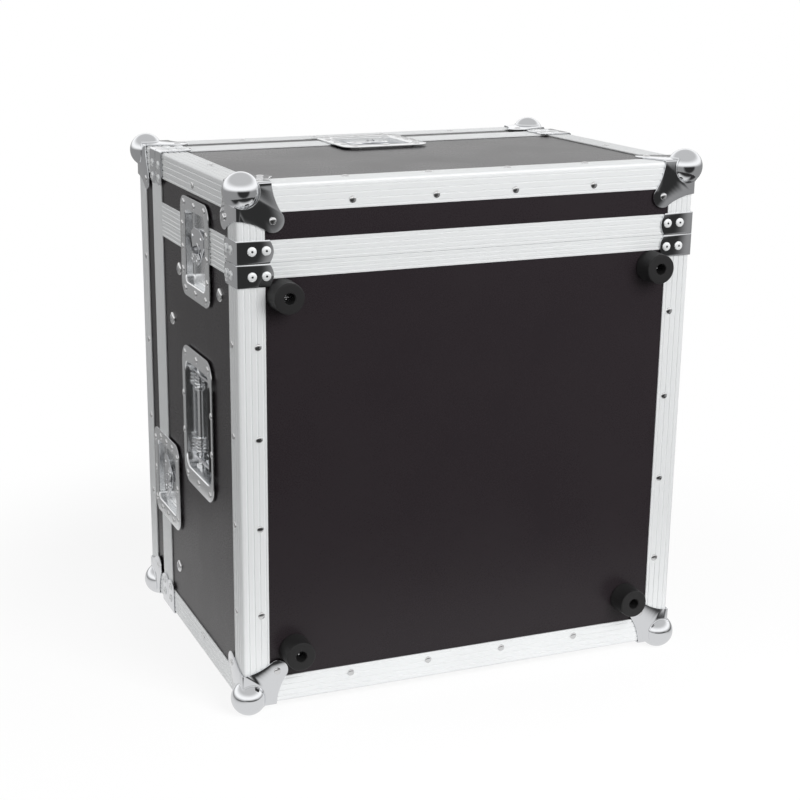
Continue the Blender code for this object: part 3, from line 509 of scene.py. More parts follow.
def plate(outline: Sequence[Point2], low: float, high: float, rounding: float = 0,
          holes: Sequence[Sequence[Point2]] = ()) -> bpy.types.Mesh:
    """A flat plate of some outline in X and Y, from low to high along Z.

    Args:
        outline: corners of the outer edge.
        low: where the plate starts along Z.
        high: where it ends.
        rounding: how far its edges are rounded.
        holes: outlines of holes through it.

    Returns:
        A closed mesh.
    """
    def prism(ring: Sequence[Point2], base: float, tip: float) -> bpy.types.Mesh:
        """A prism of one outline."""
        return loft([[Vector((x, y, z)) for x, y in ring] for z in (base, tip)])

    solid = prism(outline, low, high)
    thick = high - low
    if holes:
        solid = cut(solid, [prism(ring, low - thick, high + thick) for ring in holes])
    return softened(solid, rounding) if rounding else solid


def lathe(profile: Sequence[Point2], segments: int, closed: bool = False) -> bpy.types.Mesh:
    """Solid of a profile in radius and height, turned about Z.

    Args:
        profile: points of radius and height; a radius of zero is a pole.
        segments: how many faces go round.
        closed: the profile is a ring that never meets the axis.

    Returns:
        A closed mesh.
    """
    shape = bmesh.new()
    rows = []
    for radius, height in profile:
        if radius < POLE:
            rows.append([shape.verts.new((0, 0, height))])
        else:
            rows.append([shape.verts.new((radius * cos(tau * k / segments),
                                          radius * sin(tau * k / segments), height))
                         for k in range(segments)])
    pairs = list(zip(rows, rows[1:]))
    if closed:
        pairs.append((rows[-1], rows[0]))
    for first, second in pairs:
        for k in range(segments):
            n = (k + 1) % segments
            ring = (first[k % len(first)], first[n % len(first)],
                    second[n % len(second)], second[k % len(second)])
            shape.faces.new(dict.fromkeys(ring))
    return mesh_of(shape)


def show(name: str, mesh: bpy.types.Mesh, body: str, finish: Finish,
         replaced: Sequence[str] = (), sharp: float = 35) -> bpy.types.Object:
    """Make a finished piece that rides on a body.

    Args:
        name: the piece's name.
        mesh: its closed mesh, in its place.
        body: the body that it moves with.
        finish: its finish.
        replaced: the frame's nodes that it stands for.
        sharp: edges that turn by more degrees than this stay crisp.

    Returns:
        The piece.
    """
    mesh.name = name
    mesh.materials.clear()
    mesh.materials.append(finish.material())
    mesh.shade_smooth()
    mesh.set_sharp_from_angle(angle=radians(sharp))
    piece = bpy.data.objects.new(name, mesh)
    bpy.context.scene.collection.objects.link(piece)
    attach(piece, body)
    if replaced:
        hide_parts(*replaced)
    log.info("%s: %d faces, rides on %s", name, len(mesh.polygons), body)
    return piece


class TreeShop(NodeShop):
    """Builds one Geometry Nodes tree with named inputs, and runs it on meshes."""

    def __init__(self, name: str, inputs: Sequence[tuple[str, str]]) -> None:
        """Open the tree.

        Args:
            name: the tree's name.
            inputs: label and socket type of each input after the geometry.
        """
        super().__init__(bpy.data.node_groups.new(name, "GeometryNodeTree"))
        face = self.tree.interface
        face.new_socket("Geometry", in_out="INPUT", socket_type="NodeSocketGeometry")
        for label, kind in (*inputs, ("Finish", "NodeSocketMaterial")):
            face.new_socket(label, in_out="INPUT", socket_type=kind)
        face.new_socket("Geometry", in_out="OUTPUT", socket_type="NodeSocketGeometry")
        self.entry = self.node("NodeGroupInput")
        self.exit = self.node("NodeGroupOutput")

    def close(self, geometry: bpy.types.NodeSocket) -> None:
        """End the tree: real geometry, with its material set.

        Args:
            geometry: the socket that holds the finished geometry.
        """
        real = self.node("GeometryNodeRealizeInstances")
        painted = self.node("GeometryNodeSetMaterial")
        self.link(geometry, real.inputs["Geometry"])
        self.link(real.outputs["Geometry"], painted.inputs["Geometry"])
        self.link(self.entry.outputs["Finish"], painted.inputs["Material"])
        self.link(painted.outputs["Geometry"], self.exit.inputs["Geometry"])

    def run(self, mesh: bpy.types.Mesh, values: dict[str, object]) -> bpy.types.Mesh:
        """Run the tree on a mesh.

        Args:
            mesh: what goes into it.
            values: its other inputs, by label.

        Returns:
            A plain mesh.
        """
        holder = held(mesh)
        step = holder.modifiers.new("tree", "NODES")
        step.node_group = self.tree
        for item in self.tree.interface.items_tree:
            if item.in_out == "INPUT" and item.name in values:
                step[item.identifier] = values[item.name]
        return evaluated(holder)


class ExtrusionTree(TreeShop):
    """Runs a flat ring of edges along +Z, with each end flush or mitred."""

    def __init__(self) -> None:
        """Build the tree."""
        super().__init__("extrusion", [("Length", "NodeSocketFloat"),
                                       ("Start Mitre", "NodeSocketVector"),
                                       ("End Mitre", "NodeSocketVector")])
        ring = self.node("GeometryNodeMeshToCurve")
        self.link(self.entry.outputs["Geometry"], ring.inputs["Mesh"])
        tip = self.node("ShaderNodeCombineXYZ")
        self.link(self.entry.outputs["Length"], tip.inputs["Z"])
        line = self.node("GeometryNodeCurvePrimitiveLine")
        self.link(tip.outputs["Vector"], line.inputs["End"])
        sweep = self.node("GeometryNodeCurveToMesh")
        sweep.inputs["Fill Caps"].default_value = True
        self.link(line.outputs["Curve"], sweep.inputs["Curve"])
        self.link(ring.outputs["Curve"], sweep.inputs["Profile Curve"])
        spot = self.node("GeometryNodeInputPosition")
        axes = self.node("ShaderNodeSeparateXYZ")
        self.link(spot.outputs["Position"], axes.inputs["Vector"])
        half = self.maths("MULTIPLY", self.entry.outputs["Length"], 0.5)
        past = self.maths("GREATER_THAN", axes.outputs["Z"], half)
        before = self.maths("SUBTRACT", 1, past)
        near = self.maths("MULTIPLY", self.mitre(spot, "Start Mitre"), before)
        far = self.maths("MULTIPLY", self.mitre(spot, "End Mitre"), past)
        shift = self.node("ShaderNodeCombineXYZ")
        self.link(self.maths("SUBTRACT", near, far), shift.inputs["Z"])
        mitred = self.node("GeometryNodeSetPosition")
        self.link(sweep.outputs["Mesh"], mitred.inputs["Geometry"])
        self.link(shift.outputs["Vector"], mitred.inputs["Offset"])
        self.close(mitred.outputs["Geometry"])

    def mitre(self, spot: bpy.types.Node, label: str) -> bpy.types.NodeSocket:
        """How far a mitre moves each point along the run.

        Args:
            spot: the node that gives the points' places.
            label: the input that holds the mitre.

        Returns:
            The distance's socket.
        """
        product = self.node("ShaderNodeVectorMath", operation="DOT_PRODUCT")
        self.link(spot.outputs["Position"], product.inputs[0])
        self.link(self.entry.outputs[label], product.inputs[1])
        return product.outputs["Value"]


class ScatterTree(TreeShop):
    """Sets a fastener on each point, along the way it faces, and turned by a seeded angle."""

    def __init__(self) -> None:
        """Build the tree."""
        super().__init__("fasteners", [("Fastener", "NodeSocketObject"),
                                       ("Seed", "NodeSocketInt")])
        shape = self.node("GeometryNodeObjectInfo")
        shape.inputs["As Instance"].default_value = True
        self.link(self.entry.outputs["Fastener"], shape.inputs["Object"])
        facing = self.node("GeometryNodeInputNamedAttribute", data_type="FLOAT_VECTOR")
        facing.inputs["Name"].default_value = "facing"
        upright = self.node("FunctionNodeAlignRotationToVector", axis="Z")
        self.link(facing.outputs["Attribute"], upright.inputs["Vector"])
        spin = self.node("FunctionNodeRandomValue", data_type="FLOAT")
        spin.inputs[3].default_value = tau
        self.link(self.entry.outputs["Seed"], spin.inputs["Seed"])
        turn = self.node("FunctionNodeAxisAngleToRotation")
        self.link(spin.outputs[1], turn.inputs["Angle"])
        turned = self.node("FunctionNodeRotateRotation", rotation_space="LOCAL")
        self.link(upright.outputs["Rotation"], turned.inputs["Rotation"])
        self.link(turn.outputs["Rotation"], turned.inputs["Rotate By"])
        spread = self.node("GeometryNodeInstanceOnPoints")
        self.link(self.entry.outputs["Geometry"], spread.inputs["Points"])
        self.link(shape.outputs["Geometry"], spread.inputs["Instance"])
        self.link(turned.outputs["Rotation"], spread.inputs["Rotation"])
        self.close(spread.outputs["Instances"])


class SpringTree(TreeShop):
    """Winds a round wire into a coil spring that stands on the origin along +Z."""

    turn_steps = 24
    wire_sides = 10

    def __init__(self) -> None:
        """Build the tree."""
        super().__init__("spring", [("Turns", "NodeSocketFloat"), ("Radius", "NodeSocketFloat"),
                                    ("Height", "NodeSocketFloat"), ("Wire", "NodeSocketFloat")])
        coil = self.node("GeometryNodeCurveSpiral")
        coil.inputs["Resolution"].default_value = self.turn_steps
        for label, socket in (("Turns", "Rotations"), ("Radius", "Start Radius"),
                              ("Radius", "End Radius"), ("Height", "Height")):
            self.link(self.entry.outputs[label], coil.inputs[socket])
        section = self.node("GeometryNodeCurvePrimitiveCircle")
        section.inputs["Resolution"].default_value = self.wire_sides
        self.link(self.entry.outputs["Wire"], section.inputs["Radius"])
        wound = self.node("GeometryNodeCurveToMesh")
        wound.inputs["Fill Caps"].default_value = True
        self.link(coil.outputs["Curve"], wound.inputs["Curve"])
        self.link(section.outputs["Curve"], wound.inputs["Profile Curve"])
        self.close(wound.outputs["Mesh"])


EXTRUSION = ExtrusionTree()
SCATTER = ScatterTree()
SPRING = SpringTree()

Spot = tuple[Vector, Vector]


def quarter_turn(steps: int = 6) -> list[float]:
    """Angles of a quarter turn, from zero, in radians."""
    return [0.5 * pi * k / steps for k in range(steps + 1)]


def in_case(spots: Iterable[Spot], matrix: Matrix) -> list[Spot]:
    """Spots of a local frame, taken to the case's frame."""
    return [(matrix @ point, matrix.to_3x3() @ way) for point, way in spots]


@dataclass
class Fasteners:
    """Rivets, screws and bolt heads, each made once and set where it is needed."""

    rivet_radius: float = 3.9 * MM
    rivet_height: float = 1.5 * MM
    pop_radius: float = 4.9 * MM
    pop_height: float = 1.5 * MM
    pop_bore: float = 1.25 * MM
    bolt_radius: float = 7.4 * MM
    bolt_height: float = 3.2 * MM
    screw_radius: float = 4.4 * MM
    screw_height: float = 2.4 * MM
    screw_slot_half: float = 0.55 * MM
    sunk: float = 0.3 * MM
    lip_share: float = 0.25
    pop_lip_share: float = 0.3
    sides: int = 20
    stem_sides: int = 12

    def dome(self, radius: float, height: float) -> bpy.types.Mesh:
        """A low round head that stands on the face.

        Args:
            radius: its radius.
            height: its height.

        Returns:
            A closed mesh.
        """
        base = -self.sunk
        lip = self.lip_share * height
        curve = [(radius * cos(a), lip + (height - lip) * sin(a)) for a in quarter_turn()]
        return lathe([(0, base), (radius, base), *curve[:-1], (0, height)], self.sides)

    def rivet(self) -> bpy.types.Mesh:
        """Solid rivet with a low round head."""
        return self.dome(self.rivet_radius, self.rivet_height)

    def bolt(self) -> bpy.types.Mesh:
        """Round head of a rail bolt."""
        return self.dome(self.bolt_radius, self.bolt_height)

    def pop_rivet(self) -> bpy.types.Mesh:
        """Blind rivet with an open centre.

        Returns:
            A closed mesh.
        """
        radius, height, bore = self.pop_radius, self.pop_height, self.pop_bore
        lip = self.pop_lip_share
        curve = [(bore + (radius - bore) * cos(a), lip * height + (1 - lip) * height * sin(a))
                 for a in quarter_turn()]
        well = (lip + 0.05) * height
        profile = [(radius, -self.sunk), *curve, (bore, well), (bore, -self.sunk)]
        return lathe(profile, self.sides, closed=True)

    def mandrel(self) -> bpy.types.Mesh:
        """Broken stem in the centre of a blind rivet.

        Returns:
            A closed mesh.
        """
        bore = self.pop_bore
        return lathe([(0, -self.sunk), (bore, -self.sunk), (bore, 0.3 * MM),
                      (0.35 * bore, 0.55 * MM), (0, 0.5 * MM)], self.stem_sides)

    def screw(self) -> bpy.types.Mesh:
        """Pan head screw with a cross recess.

        Returns:
            A closed mesh.
        """
        head = self.dome(self.screw_radius, self.screw_height)
        reach, half = 0.6 * self.screw_radius, self.screw_slot_half
        floor, high = 0.4 * self.screw_height, 2 * self.screw_height
        slots = [block((-reach, -half, floor), (reach, half, high)),
                 block((-half, -reach, floor), (half, reach, high))]
        return cut(cut(head, slots[:1]), slots[1:])

    def set_on(self, shape: bpy.types.Mesh, spots: Sequence[Spot], finish: Finish,
               seed: int = 7) -> bpy.types.Mesh:
        """Set a fastener on each spot.

        Args:
            shape: the fastener, standing on the origin along +Z.
            spots: where each one stands, and the way it faces.
            finish: its finish.
            seed: seed of its turns.

        Returns:
            One mesh of all of them.
        """
        points = bpy.data.meshes.new("spots")
        points.from_pydata([spot for spot, _ in spots], [], [])
        facing = points.attributes.new("facing", "FLOAT_VECTOR", "POINT")
        for item, (_, way) in zip(facing.data, spots):
            item.vector = way
        pattern = held(shape, "fastener")
        mesh = SCATTER.run(points, {"Fastener": pattern, "Seed": seed,
                                    "Finish": finish.material()})
        bpy.data.objects.remove(pattern)
        return mesh

    def fit(self, name: str, shape: bpy.types.Mesh, spots: Sequence[Spot], body: str,
            finish: Finish) -> None:
        """Set a fastener on each spot and show them as one piece.

        Args:
            name: the piece's name.
            shape: the fastener.
            spots: where each one stands, and the way it faces.
            body: the body that they move with.
            finish: their finish.
        """
        show(name, self.set_on(shape, spots, finish), body, finish)


FASTENERS = Fasteners()


@dataclass(frozen=True)
class Run:
    """One straight length of extrusion, from a corner of the case."""

    origin: tuple[float, float, float]
    across: Vector
    up: Vector
    along: Vector
    length: float
    start: bool = False
    end: bool = False
    notch: float | None = None

    def follows(self, axis: Vector) -> bool:
        """Whether it runs along an axis, either way."""
        return abs(self.along.dot(axis)) > 0.5


Rim = tuple[Run, float, bool]


@dataclass
class Extrusions:
    """Shared parts of the aluminium extrusions: their grooves and how runs are cut."""

    groove_depth: float = 0.6 * MM
    groove_half: float = 1.0 * MM
    tip: float = 0.4 * MM

    def grooved(self, places: Sequence[float]) -> list[Point2]:
        """Depth and distance along a leg of its grooves, from the tip inward.

        Args:
            places: the middles of the grooves along the leg.

        Returns:
            Points of depth and distance.
        """
        points = []
        for at in sorted(places, reverse=True):
            for share, depth in ((1, 0), (0.5, 1), (-0.5, 1), (-1, 0)):
                points.append((depth * self.groove_depth, at + share * self.groove_half))
        return points

    def sweep(self, profile: Sequence[Point2], run: Run, first: float, last: float,
              start: Vector, end: Vector) -> Placed:
        """Extrude a profile over part of a run.

        Args:
            profile: its ring of points.
            run: the run.
            first: where the length starts along the run.
            last: where it ends.
            start: mitre of its start, for each axis of the profile.
            end: mitre of its end.

        Returns:
            The mesh, and the matrix of its place.
        """
        ring = bpy.data.meshes.new("profile")
        count = len(profile)
        ring.from_pydata([(x, y, 0) for x, y in profile],
                         [(k, (k + 1) % count) for k in range(count)], [])
        mesh = EXTRUSION.run(ring, {"Length": last - first, "Start Mitre": start,
                                    "End Mitre": end, "Finish": ALUMINIUM.material()})
        return mesh, place(Vector(run.origin) + run.along * first, run.across, run.up, run.along)


@dataclass
class Edging(Extrusions):
    """Ribbed angle along the outer edges of a shell."""

    leg: float = 30 * MM
    corner: float = 3 * MM
    corner_steps: int = 6
    grooves: tuple[float, ...] = (7.0 * MM, 13.6 * MM, 20.2 * MM, 27.0 * MM)
    long_run: float = 300 * MM
    short_run: float = 150 * MM
    rivet_inset: float = 21.2 * MM
    rivet_places: tuple[float, ...] = (105 * MM, 204 * MM, 303 * MM, 402 * MM)
    front_places: tuple[float, ...] = (125 * MM, 219 * MM, 311 * MM, 405 * MM)
    back_places: tuple[float, ...] = (134 * MM, 233 * MM, 331 * MM, 436 * MM)
    side_places: tuple[float, ...] = (155 * MM,)

    def profile(self) -> list[Point2]:
        """Ring of the angle, with its corner at the case's edge.

        Returns:
            Its points.
        """
        metal, leg, tip = CASE.metal, self.leg, self.tip
        first = [(metal, leg), (tip, leg), (0, leg - tip), *self.grooved(self.grooves)]
        bend = arc((self.corner, self.corner), self.corner, 180, 270, self.corner_steps)
        return first + bend + [(y, x) for x, y in reversed(first)] + [(metal, metal)]

    def runs(self, shell: Shell) -> list[Run]:
        """The lengths of angle on one shell.

        Args:
            shell: the shell.

        Returns:
            Its runs.
        """
        side, front, back = CASE.side, CASE.front, CASE.back
        deep = CASE.cover_split - CASE.body_band - CASE.seat - front
        runs = []
        if shell is Shell.COVER:
            depth = back - CASE.cover_split - CASE.cap_band - CASE.seat
            for sign in (-1, 1):
                runs.append(Run((sign * side, back, CASE.bottom), -sign * X, -Y, Z,
                                CASE.top - CASE.bottom, True, True))
            for height, up in ((CASE.bottom, Z), (CASE.top, -Z)):
                runs.append(Run((-side, back, height), -Y, up, X, 2 * side, True, True))
                for sign in (-1, 1):
                    runs.append(Run((sign * side, back, height), -sign * X, up, -Y, depth, True))
            return runs
        height, up = (CASE.bottom, Z) if shell is Shell.BODY else (CASE.top, -Z)
        split = (CASE.lid_split - CASE.body_band - CASE.seat if shell is Shell.BODY
                 else CASE.lid_split + CASE.cap_band + CASE.seat)
        runs.append(Run((-side, front, height), Y, up, X, 2 * side, True, True))
        for sign in (-1, 1):
            runs.append(Run((sign * side, front, height), -sign * X, Y, up,
                            abs(split - height), True))
            runs.append(Run((sign * side, front, height), -sign * X, up, Y, deep, True))
        return runs

    def rivets(self, run: Run) -> list[Spot]:
        """Where the rivets stand on both legs of a run.

        Args:
            run: the run.

        Returns:
            Their spots.
        """
        if run.follows(X):
            places = self.front_places
        elif run.length > self.long_run and run.follows(Z):
            places = self.rivet_places if run.up.y > 0 else self.back_places
        elif run.length > self.short_run:
            places = self.side_places
        else:
            places = ()
        spots = []
        for at in places:
            point = Vector(run.origin) + run.along * at
            spots.append((point + run.up * self.rivet_inset, -run.across))
            spots.append((point + run.across * self.rivet_inset, -run.up))
        return spots

    def build(self) -> None:
        """Make the edging of the three shells."""
        profile = self.profile()
        flush, mitred = Vector((0, 0, 0)), Vector((1, 1, 0))
        for shell in Shell:
            lengths, spots = [], []
            for run in self.runs(shell):
                lengths.append(self.sweep(profile, run, 0, run.length,
                                          mitred if run.start else flush,
                                          mitred if run.end else flush))
                spots += self.rivets(run)
            body = shell.value
            show(f"{body}_ribbed_edging", joined(lengths), body, ALUMINIUM, [f"{body}_edging"])
            FASTENERS.fit(f"{body}_edging_rivets", FASTENERS.rivet(), spots, body, RIVET)


@dataclass
class ClosingRims(Extrusions):
    """Tongue and groove extrusions along the two splits, broken where a latch sits."""

    web: float = 6.65 * MM
    web_inset: float = 0.1 * MM
    web_lift: float = 0.05 * MM
    inner_leg: float = 12 * MM
    tongue_half: float = 1.2 * MM
    tongue_height: float = 3.2 * MM
    tongue_taper: float = 0.25 * MM
    clearance: float = 0.4 * MM
    notch_half: float = 39.8 * MM
    notch_floor: float = 10.8 * MM
    wide_band: float = 20 * MM
    body_grooves: tuple[float, ...] = (4.2 * MM, 8.6 * MM, 13.4 * MM)
    cap_grooves: tuple[float, ...] = (3.6 * MM, 8.6 * MM, 14 * MM, 19.4 * MM)
    notches: dict[str, float] = field(default_factory=lambda: {
        "lid_side": -40.25 * MM - CASE.front, "cover_side": 185 * MM - CASE.bottom,
        "top": CASE.side})

    def profile(self, band: float, tongued: bool) -> list[Point2]:
        """Ring of a rim: inset from the outside across, distance from the split up.

        Args:
            band: how wide its outer face is.
            tongued: whether it carries the tongue.

        Returns:
            Its points.
        """
        seat, metal, wall, tip = CASE.half_seat, CASE.metal, CASE.wall, self.tip
        places = self.cap_grooves if band > self.wide_band else self.body_grooves
        outside = [(x, y) for x, y in reversed(self.grooved(places))]
        middle, taper = wall / 2, self.tongue_taper
        if tongued:
            half, height = self.tongue_half, -self.tongue_height
        else:
            half = self.tongue_half + self.clearance
            height = self.tongue_height + self.clearance
        key = [(middle + half, seat), (middle + half - taper, height),
               (middle - half + taper, height), (middle - half, seat)]
        return ([(tip, seat), (0, seat + tip), *outside, (0, band - tip), (tip, band),
                 (metal, band), (metal, self.web), (wall - metal, self.web),
                 (wall - metal, self.inner_leg), (wall, self.inner_leg), (wall, seat)] + key)

    def web_profile(self) -> list[Point2]:
        """Ring of the solid web alone, which closes the end of a rim.

        Returns:
            Its points.
        """
        low, high = CASE.metal + self.web_inset, self.web
        base = CASE.half_seat + self.web_lift
        return [(low, base), (low, high), (CASE.wall, high), (CASE.wall, base)]

    def notch_profile(self) -> list[Point2]:
        """Ring of what is left of a rim behind a latch."""
        low, high, base = self.notch_floor, self.inner_leg, CASE.half_seat
        return [(low, base), (low, high), (CASE.wall, high), (CASE.wall, base)]

    def runs(self, shell: Shell) -> list[Rim]:
        """The rims of one shell.

        Args:
            shell: the shell.

        Returns:
            Each rim's run, its band, and whether it carries the tongue.
        """
        side, front, bottom, top = CASE.side, CASE.front, CASE.bottom, CASE.top
        split, cover = CASE.lid_split, CASE.cover_split
        deep = cover - CASE.body_band - CASE.seat - front
        half = CASE.half_seat
        rims = []
        if shell is Shell.COVER:
            band = CASE.cap_band
            rims.append((Run((-side, cover, bottom), Z, Y, X, 2 * side, True, True), band, False))
            rims.append((Run((-side, cover, top), -Z, Y, X, 2 * side, True, True,
                             self.notches["top"]), band, False))
            for sign in (-1, 1):
                rims.append((Run((sign * side, cover, bottom), -sign * X, Y, Z, top - bottom,
                                 True, True, self.notches["cover_side"]), band, False))
            return rims
        body = shell is Shell.BODY
        up, band = (-Z, CASE.body_band) if body else (Z, CASE.cap_band)
        rims.append((Run((-side, front, split), Y, up, X, 2 * side, True, True), band, body))
        for sign in (-1, 1):
            rims.append((Run((sign * side, front, split), -sign * X, up, Y, deep, True, False,
                             self.notches["lid_side"]), band, body))
        band = CASE.body_band
        if body:
            rims.append((Run((-side, cover, bottom), Z, -Y, X, 2 * side, True, True), band, True))
        else:
            rims.append((Run((-side, cover, top), -Z, -Y, X, 2 * side, True, True,
                             self.notches["top"]), band, False))
        for sign in (-1, 1):
            if body:
                run = Run((sign * side, cover, bottom), -sign * X, -Y, Z, split - half - bottom,
                          True, False, self.notches["cover_side"])
            else:
                run = Run((sign * side, cover, top), -sign * X, -Y, -Z, top - split - half, True)
            rims.append((run, band, body))
        return rims

    def lengths(self, run: Run, band: float, tongued: bool) -> list[Placed]:
        """Cut one rim to its lengths.

        Args:
            run: where it goes.
            band: how wide its outer face is.
            tongued: whether it carries the tongue.

        Returns:
            Meshes with their places.
        """
        profile = self.profile(band, tongued)
        flush, mitred = Vector((0, 0, 0)), Vector((1, 0, 0))
        start, end = (mitred if run.start else flush), (mitred if run.end else flush)
        if run.notch is None:
            return [self.sweep(profile, run, 0, run.length, start, end)]
        low, high = run.notch - self.notch_half, run.notch + self.notch_half
        return [self.sweep(profile, run, 0, low, start, flush),
                self.sweep(self.notch_profile(), run, low, high, flush, flush),
                self.sweep(profile, run, high, run.length, flush, end)]

    def build(self) -> None:
        """Make the rims of the three shells."""
        flush = Vector((0, 0, 0))
        for shell in Shell:
            lengths = []
            for run, band, tongued in self.runs(shell):
                lengths += self.lengths(run, band, tongued)
                if not run.end and run.follows(Y):
                    reach = run.length + CASE.body_band
                    lengths.append(self.sweep(self.web_profile(), run, run.length, reach,
                                              flush, flush))
            body = shell.value
            show(f"{body}_closing_rims", joined(lengths), body, ALUMINIUM, [f"{body}_rims"])


@dataclass
class SplitBrackets:
    """Bent corner brackets, one on each side of a split, with two blind rivets a leg."""

    height: float = 24 * MM
    reach: float = 34.6 * MM
    bulge: float = 4.2 * MM
    bend: float = 2.4 * MM
    bend_angles: tuple[float, ...] = (202.5, 225, 247.5)
    rivet_pitch: float = 15.4 * MM
    rivet_height: float = 13 * MM
    rows: int = 12
    rounding: float = 0.35 * MM
    sharp: float = 50

    def frames(self, shell: Shell) -> list[Matrix]:
        """Where the brackets of one shell sit: x and y run into the case, z off the split.

        Args:
            shell: the shell.

        Returns:
            The matrices of their places.
        """
        frames = []
        for sign in (-1, 1):
            x, inward = sign * CASE.side, -sign * X
            if shell is Shell.BODY:
                frames.append(place((x, CASE.front, CASE.lid_split), inward, Y, -Z))
                frames.append(place((x, CASE.cover_split, CASE.bottom), inward, Z, -Y))
            elif shell is Shell.LID:
                frames.append(place((x, CASE.front, CASE.lid_split), inward, Y, Z))
                frames.append(place((x, CASE.cover_split, CASE.top), inward, -Z, -Y))
            else:
                frames.append(place((x, CASE.cover_split, CASE.bottom), inward, Z, Y))
                frames.append(place((x, CASE.cover_split, CASE.top), inward, -Z, Y))
        return frames

    def sheet(self) -> bpy.types.Mesh:
        """The bent sheet, with a bulged end on each leg.

        Returns:
            A closed mesh.
        """
        skin, bend, metal = CASE.skin, self.bend, CASE.metal
        centre = bend - skin
        rings = []
        for row in range(self.rows + 1):
            share = row / self.rows
            high = CASE.half_seat + self.height * share
            reach = self.reach + self.bulge * sin(pi * share)
            outer = [(Vector((-skin, reach, high)), -X), (Vector((-skin, centre, high)), -X)]
            for angle in self.bend_angles:
                way = Vector((cos(radians(angle)), sin(radians(angle)), 0))
                outer.append((Vector((centre, centre, high)) + bend * way, way))
            outer += [(Vector((centre, -skin, high)), -Y), (Vector((reach, -skin, high)), -Y)]
            inner = [point - metal * way for point, way in reversed(outer)]
            rings.append([point for point, _ in outer] + inner)
        return softened(loft(rings), self.rounding, angle=self.sharp)

    def rivet_spots(self) -> list[Spot]:
        """The rivets of one bracket, in its own frame.

        Returns:
            Their spots.
        """
        spots = []
        for at in (self.rivet_pitch, 2 * self.rivet_pitch):
            spots.append((Vector((at, -CASE.skin, self.rivet_height)), -Y))
            spots.append((Vector((-CASE.skin, at, self.rivet_height)), -X))
        return spots

    def build(self) -> None:
        """Make the brackets of the three shells with their rivets."""
        sheet = self.sheet()
        for shell in Shell:
            frames, body = self.frames(shell), shell.value
            brackets = joined((sheet, matrix) for matrix in frames)
            show(f"{body}_split_brackets", brackets, body, CHROME)
            spots = [spot for matrix in frames for spot in in_case(self.rivet_spots(), matrix)]
            FASTENERS.fit(f"{body}_bracket_rivets", FASTENERS.pop_rivet(), spots, body, ALUMINIUM)
            FASTENERS.fit(f"{body}_bracket_rivet_stems", FASTENERS.mandrel(), spots, body,
                          DARK_STEEL)


